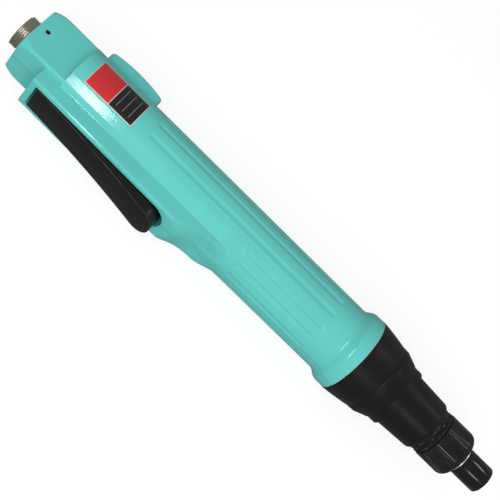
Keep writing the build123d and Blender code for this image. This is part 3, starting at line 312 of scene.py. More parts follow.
class EdgeWearAndHighlight(Effect):
    """Mask of rubbed outer edges that also carries their painted highlight, broken up by noise, with the
    rounded normal that goes with it.
    """

    title = "edge_wear_and_highlight"
    takes = (("Vector", "Vector", None), ("Radius", "Float", 0.0004), ("Amount", "Float", 0.5),
             ("Scale", "Float", 500.0))
    gives = (("Mask", "Float"), ("Normal", "Vector"))

    def wire(self, tree: Tree, given: Mapping[str, Socket]) -> dict[str, Socket]:
        """Compare the rounded normal with the real one, and roughen the edge of the mask.

        Args:
            tree: the group's tree.
            given: place, edge radius, amount of wear and painted edge highlight, and scale of its breaks.

        Returns:
            Mask of the wear and painted edge highlight, and the rounded normal.
        """
        rounded = tree.add("ShaderNodeBevel", {"Radius": given["Radius"]}, samples=6).outputs[0]
        real = tree.add("ShaderNodeNewGeometry").outputs["Normal"]
        same = tree.add("ShaderNodeVectorMath", {0: rounded, 1: real}, operation="DOT_PRODUCT")
        turned = tree.math("SUBTRACT", 1.0, same.outputs["Value"])
        noise = tree.add("ShaderNodeTexNoise", {
            "Vector": given["Vector"], "Scale": given["Scale"], "Detail": 4.0})
        breaks = tree.span(noise.outputs[0], low=0.35, high=0.65, to_low=0.2, to_high=2.6)
        # Worn edges, which also carry a painted highlight where edges catch light
        worn_and_highlight = tree.span(tree.math("MULTIPLY", turned, breaks), low=0.03, high=0.25)
        return {"Mask": tree.math("MULTIPLY", worn_and_highlight, given["Amount"], clamp=True), "Normal": rounded}


class LatheMarks(Effect):
    """Fine rings left by turning, which change only along the spindle."""

    title = "lathe_marks"
    takes = (("Vector", "Vector", None), ("Rings", "Float", 2500.0))
    gives = (("Height", "Float"),)
    stretch = (1.0, 0.02, 0.02)

    def wire(self, tree: Tree, given: Mapping[str, Socket]) -> dict[str, Socket]:
        """Squeeze a noise along the spindle.

        Args:
            tree: the group's tree.
            given: place and number of rings.

        Returns:
            Height of the marks.
        """
        stretched = tree.add("ShaderNodeVectorMath", {0: given["Vector"], 1: self.stretch},
                             operation="MULTIPLY")
        noise = tree.add("ShaderNodeTexNoise", {
            "Vector": stretched.outputs[0], "Scale": given["Rings"], "Detail": 2.0})
        return {"Height": noise.outputs[0]}


# Finishes


@dataclass(frozen=True)
class Finish:
    """A surface of one kind. Roughness runs between two limits; edge and depth are in millimetres."""

    title: str
    colour: Colour
    roughness: tuple[float, float] = (0.3, 0.45)
    metal: float = 0.0
    coat: float = 0.0
    coat_roughness: float = 0.12
    gloss: float = 0.5
    grain: float = 900.0
    depth: float = 0.02
    edge: float = 0.25
    # Edge mask amount and colour: real wear, and on the teal and black finishes also a painted highlight
    # along the edges
    wear_and_highlight: float = 0.3
    worn_and_highlight: Colour = (200, 200, 200)
    smudges: float = 35.0
    tint: float = 0.06

    def material(self) -> bpy.types.Material:
        """Return this finish's material, made once."""
        found = bpy.data.materials.get(self.title + "_finish")
        return found if found is not None else self.make()

    def make(self) -> bpy.types.Material:
        """Make the material: colour variation, edge wear with painted edge highlights, smudges and grain
        round one shader.

        Returns:
            The new material.
        """
        made = bpy.data.materials.new(self.title + "_finish")
        tree = Tree.emptied(made)
        place = tree.add("ShaderNodeTexCoord").outputs["Object"]
        wear_and_highlight = EdgeWearAndHighlight().place(tree, Vector=place, Radius=self.edge * MM, Amount=self.wear_and_highlight)
        smudge = Handling().place(tree, Vector=place, Scale=self.smudges, Low=self.roughness[0],
                                  High=self.roughness[1])
        colour = self.colour_of(tree, place, smudge.outputs["Mask"])
        bump = tree.add("ShaderNodeBump", {
            "Strength": 1.0, "Distance": self.depth * MM, "Height": self.height_of(tree, place),
            "Normal": wear_and_highlight.outputs["Normal"]})
        shader = tree.add("ShaderNodeBsdfPrincipled", {
            # Edges get the worn colour: real wear, and a painted highlight along them
            "Base Color": tree.mix(wear_and_highlight.outputs["Mask"], colour, linear(self.worn_and_highlight)),
            "Roughness": self.roughness_of(tree, place, smudge.outputs["Value"]),
            "Metallic": self.metal, "Specular IOR Level": self.gloss,
            "Coat Weight": self.coat, "Coat Roughness": self.coat_roughness, "Normal": bump.outputs[0]})
        tree.add("ShaderNodeOutputMaterial", {0: shader.outputs[0]})
        return made

    def colour_of(self, tree: Tree, place: Socket, mask: Socket) -> Socket:
        """Colour over the surface: the plain colour with a slow, slight change of shade."""
        return tree.mix(mask, shaded(self.colour, 1 - self.tint), shaded(self.colour, 1 + self.tint))

    def roughness_of(self, tree: Tree, place: Socket, smudged: Socket) -> Socket:
        """Roughness over the surface: as smudged by handling."""
        return smudged

    def height_of(self, tree: Tree, place: Socket) -> Socket:
        """Height of the fine texture."""
        return Grain().place(tree, Vector=place, Grains=self.grain).outputs["Height"]


@dataclass(frozen=True)
class ShellPlastic(Finish):
    """Glossy moulded plastic of the shells, with the parting line where they meet and a painted highlight
    along the rim.
    """

    parting_half_width: float = 0.05
    parting_soft: float = 0.03
    parting_shade: float = 0.38
    parting_depth: float = 3.0
    # Station of the rim, and the pale band of painted highlight along its edge
    rim: float = -84.5
    rim_highlight_half_width: float = 0.22
    rim_highlight_soft: float = 0.15
    rim_highlight_share: float = 0.7
    rim_highlight_colour: Colour = (190, 240, 232)

    def colour_of(self, tree: Tree, place: Socket, mask: Socket) -> Socket:
        """Add the painted highlight along the rim and the parting line to the plain colour.

        Args:
            tree: the material's tree.
            place: place on the surface.
            mask: mask of the smudges.

        Returns:
            The colour.
        """
        plain = super().colour_of(tree, place, mask)
        # Painted highlight: a pale band round the rim, where its edge catches light
        edge = tree.band(tree.part(place, Axis.SPINDLE), self.rim, self.rim_highlight_half_width, self.rim_highlight_soft)
        lit = tree.mix(tree.math("MULTIPLY", edge, self.rim_highlight_share), plain, linear(self.rim_highlight_colour))
        return tree.mix(self.parting(tree, place), lit, shaded(self.colour, self.parting_shade))

    def height_of(self, tree: Tree, place: Socket) -> Socket:
        """Sink the parting line below the grain."""
        groove = tree.math("MULTIPLY", self.parting(tree, place), self.parting_depth)
        return tree.math("SUBTRACT", super().height_of(tree, place), groove)

    def parting(self, tree: Tree, place: Socket) -> Socket:
        """Mask of the line where the two shells meet."""
        return tree.band(tree.part(place, Axis.LABEL), 0.0, self.parting_half_width, self.parting_soft)


@dataclass(frozen=True)
class SatinNose(Finish):
    """Satin black of the nose, with the ribbed lands of its neck rubbed smooth."""

    lands: float = -34.4
    lands_half: float = 2.6
    lands_soft: float = 0.1
    smooth: float = 0.5

    def roughness_of(self, tree: Tree, place: Socket, smudged: Socket) -> Socket:
        """Lower the roughness on the lands.

        Args:
            tree: the material's tree.
            place: place on the surface.
            smudged: roughness as smudged by handling.

        Returns:
            The roughness.
        """
        rubbed = tree.band(tree.part(place, Axis.SPINDLE), self.lands, self.lands_half, self.lands_soft)
        kept = tree.math("SUBTRACT", 1.0, tree.math("MULTIPLY", rubbed, self.smooth))
        return tree.math("MULTIPLY", smudged, kept)


@dataclass(frozen=True)
class TurnedMetal(Finish):
    """Metal that was turned or ground, with fine rings along the spindle."""

    rings: float = 2600.0

    def height_of(self, tree: Tree, place: Socket) -> Socket:
        """Height of the turning marks."""
        return LatheMarks().place(tree, Vector=place, Rings=self.rings).outputs["Height"]


@dataclass(frozen=True)
class RatingFoil(Finish):
    """Two-tone foil of the label plate, bare of any words, with a thin pale border and three rules."""

    split: float = -238.2
    split_soft: float = 0.03
    split_half_width: float = 0.12
    radius: float = 17.5
    border: float = 0.28
    soft: float = 0.08
    rules: tuple[float, ...] = (-235.4, -231.9, -228.4)
    rule_half_length: float = 5.4
    rule_half_width: float = 0.05
    rule_share: float = 0.55
    dark: Colour = (22, 20, 24)
    line: Colour = (226, 206, 200)

    def colour_of(self, tree: Tree, place: Socket, mask: Socket) -> Socket:
        """Red rear half, black front half, thin pale border, divider and rules.

        Args:
            tree: the material's tree.
            place: place on the surface.
            mask: mask of the smudges.

        Returns:
            The colour.
        """
        along = tree.part(place, Axis.SPINDLE)
        turn = tree.math("ARCTAN2", tree.part(place, Axis.SWITCH), tree.part(place, Axis.LABEL))
        around = tree.math("MULTIPLY", turn, self.radius * MM)
        front_half = tree.span(along, (self.split - self.split_soft) * MM,
                               (self.split + self.split_soft) * MM)
        field = tree.mix(front_half, super().colour_of(tree, place, mask), linear(self.dark))
        half_width = self.radius * math.radians(LABEL_HALF_ANGLE)
        edges = [tree.band(along, LABEL_REAR, self.border, self.soft),
                 tree.band(along, LABEL_FRONT, self.border, self.soft),
                 tree.band(around, half_width, self.border, self.soft),
                 tree.band(around, -half_width, self.border, self.soft),
                 tree.band(along, self.split, self.split_half_width, self.soft)]
        inside = tree.band(around, 0.0, self.rule_half_length, self.soft)
        inside = tree.math("MULTIPLY", inside, self.rule_share)
        for rule in self.rules:
            drawn = tree.band(along, rule, self.rule_half_width, self.soft)
            edges.append(tree.math("MULTIPLY", drawn, inside))
        lines = edges[0]
        for edge in edges[1:]:
            lines = tree.math("MAXIMUM", lines, edge)
        return tree.mix(lines, field, linear(self.line))


@dataclass(frozen=True)
class Laminate(Finish):
    """Circuit board laminate with copper tracks under the lacquer."""

    tracks: float = 260.0
    track_share: float = 0.5
    gap_shade: Shade = (0.2, 0.2, 0.2, 1.0)
    track_colour: Colour = (86, 150, 70)

    def colour_of(self, tree: Tree, place: Socket, mask: Socket) -> Socket:
        """Lay a fine grid of tracks under the green lacquer.

        Args:
            tree: the material's tree.
            place: place on the surface.
            mask: mask of the smudges.

        Returns:
            The colour.
        """
        plain = super().colour_of(tree, place, mask)
        grid = tree.add("ShaderNodeTexBrick", {"Vector": place, "Scale": self.tracks, "Mortar Size": 0.012,
                                               "Color1": BLACK, "Color2": self.gap_shade, "Mortar": WHITE})
        share = tree.math("MULTIPLY", grid.outputs[0], self.track_share)
        return tree.mix(share, plain, linear(self.track_colour))


class Surface(Enum):
    """Every finish of the tool, by the name that a maker would give it."""

    # Pale worn colours of the teal and black finishes paint highlights along their edges as well as wear
    TEAL_SHELL = ShellPlastic("teal_shell", (102, 208, 201), (0.08, 0.12), grain=500.0, depth=0.003, edge=0.6,
                              wear_and_highlight=0.25, worn_and_highlight=(140, 222, 212), tint=0.03)
    BLACK_LEVER = Finish("black_lever", (18, 16, 16), (0.28, 0.4), gloss=0.35, grain=1500.0, depth=0.006,
                         edge=0.35, wear_and_highlight=0.7, worn_and_highlight=(116, 116, 120))
    BLACK_NOSE = SatinNose("black_nose", (17, 13, 14), (0.34, 0.46), gloss=0.3, grain=1800.0, depth=0.006,
                           edge=0.3, wear_and_highlight=0.7, worn_and_highlight=(84, 78, 76))
    BLACK_NUT = Finish("black_nut", (16, 13, 13), (0.18, 0.28), grain=1800.0, depth=0.003, edge=0.12,
                       wear_and_highlight=0.35, worn_and_highlight=(88, 84, 84))
    BLACK_METAL = TurnedMetal("black_metal", (13, 9, 9), (0.1, 0.17), gloss=0.45, depth=0.002, edge=0.15,
                              wear_and_highlight=0.35, worn_and_highlight=(110, 102, 100))
    RATING_FOIL = RatingFoil("rating_foil", (208, 44, 48), (0.25, 0.36), grain=1200.0, depth=0.003, edge=0.05,
                             wear_and_highlight=0.2)
    NICKEL = TurnedMetal("nickel", (206, 200, 188), (0.24, 0.36), metal=1.0, depth=0.0006, edge=0.04,
                         wear_and_highlight=0.2, worn_and_highlight=(235, 232, 226))
    BRIGHT_RING = TurnedMetal("bright_ring", (232, 230, 224), (0.3, 0.42), metal=1.0, depth=0.002, edge=0.08,
                              wear_and_highlight=0.2, worn_and_highlight=(240, 238, 232))
    STEEL = TurnedMetal("machined_steel", (176, 178, 182), (0.26, 0.4), metal=1.0, depth=0.004, edge=0.1,
                        wear_and_highlight=0.2)
    SPRING_STEEL = Finish("spring_steel", (120, 120, 126), (0.25, 0.4), metal=1.0, grain=2500.0, depth=0.002,
                          edge=0.05, wear_and_highlight=0.1)
    BRONZE = TurnedMetal("sintered_bronze", (172, 128, 72), (0.35, 0.5), metal=1.0, depth=0.004, edge=0.1,
                         wear_and_highlight=0.2)
    COPPER = TurnedMetal("enamelled_copper", (186, 100, 62), (0.25, 0.4), metal=1.0, rings=5200.0, depth=0.02,
                         edge=0.1, wear_and_highlight=0.1)
    GILT = TurnedMetal("gilt", (218, 176, 92), (0.14, 0.24), metal=1.0, depth=0.002, edge=0.08, wear_and_highlight=0.1)
    INSULATOR = Finish("insulator", (40, 38, 42), (0.4, 0.55), grain=1400.0, depth=0.006, edge=0.15,
                       wear_and_highlight=0.15, worn_and_highlight=(80, 80, 84))
    BOARD = Laminate("board_lacquer", (24, 96, 50), (0.2, 0.32), coat=0.4, depth=0.004, edge=0.05, wear_and_highlight=0.1)
    FERRITE = Finish("ferrite", (62, 60, 62), (0.55, 0.7), grain=1600.0, depth=0.02, edge=0.15, wear_and_highlight=0.2)
    CARBON = Finish("brush_carbon", (36, 36, 38), (0.45, 0.6), grain=2400.0, depth=0.01, edge=0.1, wear_and_highlight=0.1)
    PALE_PLASTIC = Finish("pale_plastic", (214, 210, 198), (0.35, 0.48), grain=1200.0, depth=0.006, edge=0.15,
                          wear_and_highlight=0.1)

    def dress(self, piece: bpy.types.Object) -> None:
        """Give a piece or a carried-over node this finish."""
        piece.data.materials.clear()
        piece.data.materials.append(self.value.material())


# The bench: modelling by Blender's own operators


def leave_edit_mode() -> None:
    """Go back to object mode, where an operator acts on whole pieces."""
    if bpy.context.object is not None and bpy.context.object.mode != "OBJECT":
        bpy.ops.object.mode_set(mode="OBJECT")


def select(*pieces: bpy.types.Object) -> None:
    """Select only the given pieces and make the first one active.

    Args:
        pieces: the pieces, or none to deselect everything.
    """
    leave_edit_mode()
    bpy.ops.object.select_all(action="DESELECT")
    for piece in pieces:
        piece.select_set(True)
    if pieces:
        bpy.context.view_layer.objects.active = pieces[0]


class Bench:
    """One new mesh piece, shaped with Blender's own operators as by hand. Sizes are in millimetres."""

    def __init__(self, name: str, add: Callable[..., Any], **settings: Any) -> None:
        """Start from one primitive.

        Args:
            name: name of the piece.
            add: operator that adds the primitive.
            settings: the operator's own settings, in metres.
        """
        select()
        add(**settings)
        self.piece = bpy.context.object
        self.piece.name = name
        self.piece.data.name = name
        bpy.ops.object.transform_apply(location=True, rotation=True, scale=True)

    @classmethod
    def outline(cls, name: str, points: Sequence[Place], closed: bool = True) -> "Bench":
        """Draw a line of points from one vertex, by extruding it from place to place.

        Args:
            name: name of the piece.
            points: the places, in order.
            closed: whether the last place is joined to the first.

        Returns:
            The bench with the line on it, in edit mode and selected.
        """
        bench = cls(name, bpy.ops.mesh.primitive_plane_add, size=MM, location=Vector(points[0]) * MM)
        bench.edit()
        bpy.ops.mesh.merge(type="CENTER")
        stops = [*points, points[0]] if closed else points
        for last, point in zip(stops, stops[1:]):
            step = (Vector(point) - Vector(last)) * MM
            bpy.ops.mesh.extrude_region_move(TRANSFORM_OT_translate={"value": step})
        bench.pick_all()
        bpy.ops.mesh.remove_doubles(threshold=TOUCH)
        return bench

    @classmethod
    def turned(cls, name: str, profile: Sequence[tuple[float, float]], steps: int = 128) -> "Bench":
        """Turn a closed profile about the spindle.

        Args:
            name: name of the piece.
            profile: the section's corners as (station, radius); a radius of 0 lies on the axis.
            steps: steps round the whole turn.

        Returns:
            The bench with the turned body on it, in edit mode.
        """
        bench = cls.outline(name, [(station, 0.0, radius) for station, radius in profile])
        bpy.ops.mesh.spin(steps=steps, angle=2 * math.pi, center=(0, 0, 0), axis=(1, 0, 0),
                          use_auto_merge=True)
        bench.clean(2 * TOUCH)
        return bench

    def edit(self) -> None:
        """Go into edit mode with only this piece selected."""
        select(self.piece)
        bpy.ops.object.mode_set(mode="EDIT")

    def pick(self, wanted: Callable[[Vector], bool]) -> None:
        """Select the vertices at wanted places, and what lies wholly between them.

        Args:
            wanted: tells of a place, in metres, whether it is wanted.
        """
        mesh = bmesh.from_edit_mesh(self.piece.data)
        for vert in mesh.verts:
            vert.select_set(wanted(vert.co))
        mesh.select_mode = {"VERT"}
        mesh.select_flush_mode()
        bmesh.update_edit_mesh(self.piece.data)

    def pick_all(self) -> None:
        """Select the whole piece."""
        self.pick(lambda place: True)

    def pick_faces(self, wanted: Callable[[Vector, Vector], bool]) -> None:
        """Select faces.

        Args:
            wanted: tells of a face's middle, in metres, and its normal whether it is wanted.
        """
        bpy.ops.mesh.select_mode(type="FACE")
        mesh = bmesh.from_edit_mesh(self.piece.data)
        mesh.normal_update()
        for face in mesh.faces:
            face.select_set(wanted(face.calc_center_median(), face.normal))
        mesh.select_mode = {"FACE"}
        mesh.select_flush_mode()
        bmesh.update_edit_mesh(self.piece.data)

    def clean(self, distance: float = TOUCH) -> None:
        """Merge doubled vertices, drop loose edges and turn all faces outwards.

        Args:
            distance: vertices nearer to each other than this are merged, in metres.
        """
        self.pick_all()
        bpy.ops.mesh.remove_doubles(threshold=distance)
        bpy.ops.mesh.delete_loose()
        self.pick_all()
        bpy.ops.mesh.normals_make_consistent(inside=False)

    def score(self, place: Place, normal: Place = (1, 0, 0)) -> None:
        """Draw a line round the whole piece where a plane cuts it."""
        self.pick_all()
        bpy.ops.mesh.bisect(plane_co=[part * MM for part in place], plane_no=normal)

    def move(self, x: float = 0.0, y: float = 0.0, z: float = 0.0) -> None:
        """Move what is selected."""
        bpy.ops.transform.translate(value=(x * MM, y * MM, z * MM))

    def squeeze(self, factors: Place, centre: Place = (0, 0, 0)) -> None:
        """Scale what is selected about a centre."""
        bpy.ops.transform.resize(value=factors, center_override=tuple(part * MM for part in centre))

    def modify(self, kind: str, **settings: Any) -> None:
        """Add a modifier and apply it.

        Args:
            kind: Blender's name of the modifier type.
            settings: the modifier's own settings.
        """
        select(self.piece)
        made = self.piece.modifiers.new(kind.lower(), kind)
        for name, value in settings.items():
            setattr(made, name, value)
        bpy.ops.object.modifier_apply(modifier=made.name)

    def round_edges(self, width: float, segments: int = 3, angle: float = 30.0) -> None:
        """Round the edges that are sharper than an angle in degrees."""
        self.modify("BEVEL", width=width * MM, segments=segments, limit_method="ANGLE",
                    angle_limit=math.radians(angle), harden_normals=False)

    def thicken(self, thickness: float, offset: float) -> None:
        """Give a skin its thickness, outwards with an offset of 1 and inwards with -1."""
        self.modify("SOLIDIFY", thickness=thickness * MM, offset=offset, use_even_offset=True)

    def combine(self, other: "Bench", cut: Cut = Cut.REST) -> None:
        """Cut this piece by another bench's piece, and throw the other one away.

        Args:
            other: bench with the cutting piece.
            cut: what is left of this piece.
        """
        self.modify("BOOLEAN", operation=cut.value, object=other.piece, solver="EXACT")
        bpy.data.objects.remove(other.piece)

    def finish(self, body: str, surface: Surface, slot: str, *stands_for: str,
               smooth: float = 35.0) -> bpy.types.Object:
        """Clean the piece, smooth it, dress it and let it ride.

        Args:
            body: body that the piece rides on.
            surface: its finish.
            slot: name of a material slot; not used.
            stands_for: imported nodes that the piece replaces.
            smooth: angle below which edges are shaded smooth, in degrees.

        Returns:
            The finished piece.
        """
        self.edit()
        bpy.ops.mesh.select_mode(type="VERT")
        self.clean()
        select(self.piece)
        bpy.ops.object.transform_apply(location=True, rotation=True, scale=True)
        bpy.ops.object.shade_smooth_by_angle(angle=math.radians(smooth), keep_sharp_edges=False)
        surface.dress(self.piece)
        if stands_for:
            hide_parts(*stands_for)
        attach(self.piece, body)
        log.info("%s: %d faces, on %s", self.piece.name, len(self.piece.data.polygons), body)
        return self.piece


def join(*benches: Bench) -> Bench:
    """Join several benches' pieces into the first one.

    Args:
        benches: the benches.

    Returns:
        The first bench, with all the pieces on it.
    """
    select(*(bench.piece for bench in benches))
    bpy.ops.object.join()
    return benches[0]


def arc(centre: tuple[float, float], radius: float, start: float, end: float,
        steps: int = 6) -> list[tuple[float, float]]:
    """Points on an arc.

    Args:
        centre: first and second place of the arc's centre, such as station and radius.
        radius: the arc's own radius.
        start: first angle in degrees, 0 along the first axis and 90 along the second.
        end: last angle in degrees.
        steps: steps along the arc.

    Returns:
        The points.
    """
    points = []
    for step in range(steps + 1):
        angle = math.radians(start + (end - start) * step / steps)
        points.append((centre[0] + radius * math.cos(angle), centre[1] + radius * math.sin(angle)))
    return points


def bowed(share: float, first: float, middle: float, last: float) -> float:
    """Value at a share of the way along a parabola through its first, middle and last values."""
    chord = first + (last - first) * share
    return chord + 4 * (middle - (first + last) / 2) * share * (1 - share)


def wire_section(centre: tuple[float, float], radius: float, corners: int = 10) -> list[tuple[float, float]]:
    """Corners of a round wire's section."""
    return arc(centre, radius, 0.0, 360.0 * (corners - 1) / corners, corners - 1)


def wind(bench: Bench, axis: Axis, turns: float, rise: float, facets: int = 28) -> None:
    """Wind a closed section into a coil and close its two ends.

    Args:
        bench: the section, drawn about the world's origin.
        axis: axis that it is wound about.
        turns: number of turns.
        rise: length of the coil's centre line along the axis, in millimetres.
        facets: steps in each turn.
    """
    steps = round(facets * turns)
    bench.modify("SCREW", axis=axis.value, angle=2 * math.pi * turns, iterations=1, screw_offset=rise * MM,
                 steps=steps, render_steps=steps)
    bench.edit()
    bpy.ops.mesh.select_mode(type="EDGE")
    bpy.ops.mesh.select_all(action="DESELECT")
    bpy.ops.mesh.select_non_manifold(extend=False)
    bpy.ops.mesh.fill()


# The tool's sub-assemblies


@dataclass
class Connector:
    """Threaded power connector at the rear end."""

    end: float = -286.7
    edge: float = 0.35
    wall_front: float = -278.8
    flange_front: float = -275.8
    body_front: float = -271.4
    crest_radius: float = 7.88
    root_radius: float = 7.3
    bore_radius: float = 6.5
    flange_radius: float = 9.6
    body_radius: float = 7.3
    pitch: float = 1.0
    ridge_share: float = 0.46
    ridge_flat: float = 0.06
    ridge_sink: float = 0.1
    thread_start: float = 0.3
    thread_length: float = 5.1
    pin_radius: float = 0.7
    pin_circle: float = 4.0
    pin_rear: float = -284.9
    pin_front: float = -268.4
    pin_count: int = 5
    insert_rear: float = -279.9
    insert_edge: float = 0.2
    key_half_width: float = 0.9
    key_depth: float = 1.0
    key_rounding: float = 0.3

    def build(self) -> None:
        """Make the shell with its thread, the insert and the pins."""
        self.shell()
        self.insert()
        self.pins()

    def shell(self) -> None:
        """Turn the shell and join the thread to it."""
        profile = [
            (self.end, self.bore_radius + self.edge), (self.end, self.root_radius - self.edge),
            (self.end + self.edge, self.root_radius), (self.wall_front, self.root_radius),
            (self.wall_front, self.flange_radius), (self.flange_front, self.flange_radius),
            (self.flange_front, self.body_radius), (self.body_front, self.body_radius),
            (self.body_front, self.bore_radius), (self.end + self.edge, self.bore_radius),
        ]
        shell = Bench.turned("threaded_shell", profile)
        join(shell, self.thread()).finish("housing", Surface.NICKEL, "nickel", "connector_shell", smooth=40)

    def thread(self) -> Bench:
        """Wind one triangular ridge round the shell and keep what lies on the thread's length.

        Returns:
            The bench with the thread on it.
        """
        half = self.pitch * self.ridge_share
        inner = self.root_radius - self.ridge_sink
        start = self.end - self.pitch
        section = [(start - half, inner), (start - self.ridge_flat, self.crest_radius),
                   (start + self.ridge_flat, self.crest_radius), (start + half, inner)]
        thread = Bench.outline("shell_thread", [(x, 0.0, radius) for x, radius in section])
        turns = math.ceil(self.thread_length / self.pitch) + 2
        wind(thread, Axis.SPINDLE, turns, turns * self.pitch, facets=64)
        rear = self.end + self.thread_start
        front = self.end + self.thread_length
        span = Bench("thread_span", bpy.ops.mesh.primitive_cylinder_add, vertices=64,
                     radius=(self.crest_radius + 1) * MM, depth=(front - rear) * MM,
                     location=((front + rear) / 2 * MM, 0, 0), rotation=(0, math.pi / 2, 0))
        thread.edit()
        thread.pick_all()
        bpy.ops.mesh.normals_make_consistent(inside=False)
        thread.combine(span, Cut.SHARED)
        return thread

    def insert(self) -> None:
        """Turn the insert, sink a key slot in its edge and bevel it."""
        bench = Bench.turned("pin_insert", [
            (self.insert_rear, 0.0), (self.insert_rear, self.bore_radius),
            (self.body_front, self.bore_radius), (self.body_front, 0.0)], steps=96)
        key = Bench("key_cutter", bpy.ops.mesh.primitive_cube_add, size=1.0,
                    location=(self.insert_rear * MM, -self.bore_radius * MM, 0),
                    scale=(2 * self.key_depth * MM, 2 * self.key_depth * MM, 2 * self.key_half_width * MM))
        key.round_edges(self.key_rounding)
        bench.combine(key)
        bench.round_edges(self.insert_edge, segments=2, angle=40)
        bench.finish("housing", Surface.INSULATOR, "insulator", "connector_insert")

    def pins(self) -> None:
        """Model one round-ended pin and copy it round the circle."""
        tip = arc((self.pin_rear + self.pin_radius, 0.0), self.pin_radius, 180.0, 90.0, 5)
        bench = Bench.turned("contact_pins", tip + [(self.pin_front, self.pin_radius), (self.pin_front, 0.0)],
                             steps=24)
        places = arc((0.0, 0.0), self.pin_circle, 90.0, 450.0, self.pin_count)[:-1]
        bench.pick_all()
        bench.move(y=places[0][0], z=places[0][1])
        for last, place in zip(places, places[1:]):
            bpy.ops.mesh.duplicate()
            bench.move(y=place[0] - last[0], z=place[1] - last[1])
        bench.finish("housing", Surface.GILT, "gold_pin", "connector_pins")


@dataclass
class RatingPlate:
    """Bare two-tone label on top of the barrel."""

    radius: float = 17.25
    thickness: float = 0.24
    edge: float = 0.06
    steps_along: int = 20
    steps_round: int = 40

    def build(self) -> None:
        """Spin a line round the barrel, thicken it and round its edges."""
        start = math.radians(90 + LABEL_HALF_ANGLE)
        y, z = self.radius * math.cos(start), self.radius * math.sin(start)
        length = LABEL_FRONT - LABEL_REAR
        line = [(LABEL_REAR + length * step / self.steps_along, y, z) for step in range(self.steps_along + 1)]
        bench = Bench.outline("rating_plate", line, closed=False)
        bpy.ops.mesh.spin(steps=self.steps_round, angle=math.radians(2 * LABEL_HALF_ANGLE), center=(0, 0, 0),
                          axis=(1, 0, 0))
        bench.clean()
        bench.thicken(self.thickness, 1.0)
        bench.round_edges(self.edge, segments=2, angle=60)
        bench.finish("housing", Surface.RATING_FOIL, "label", "label_plate", smooth=30)


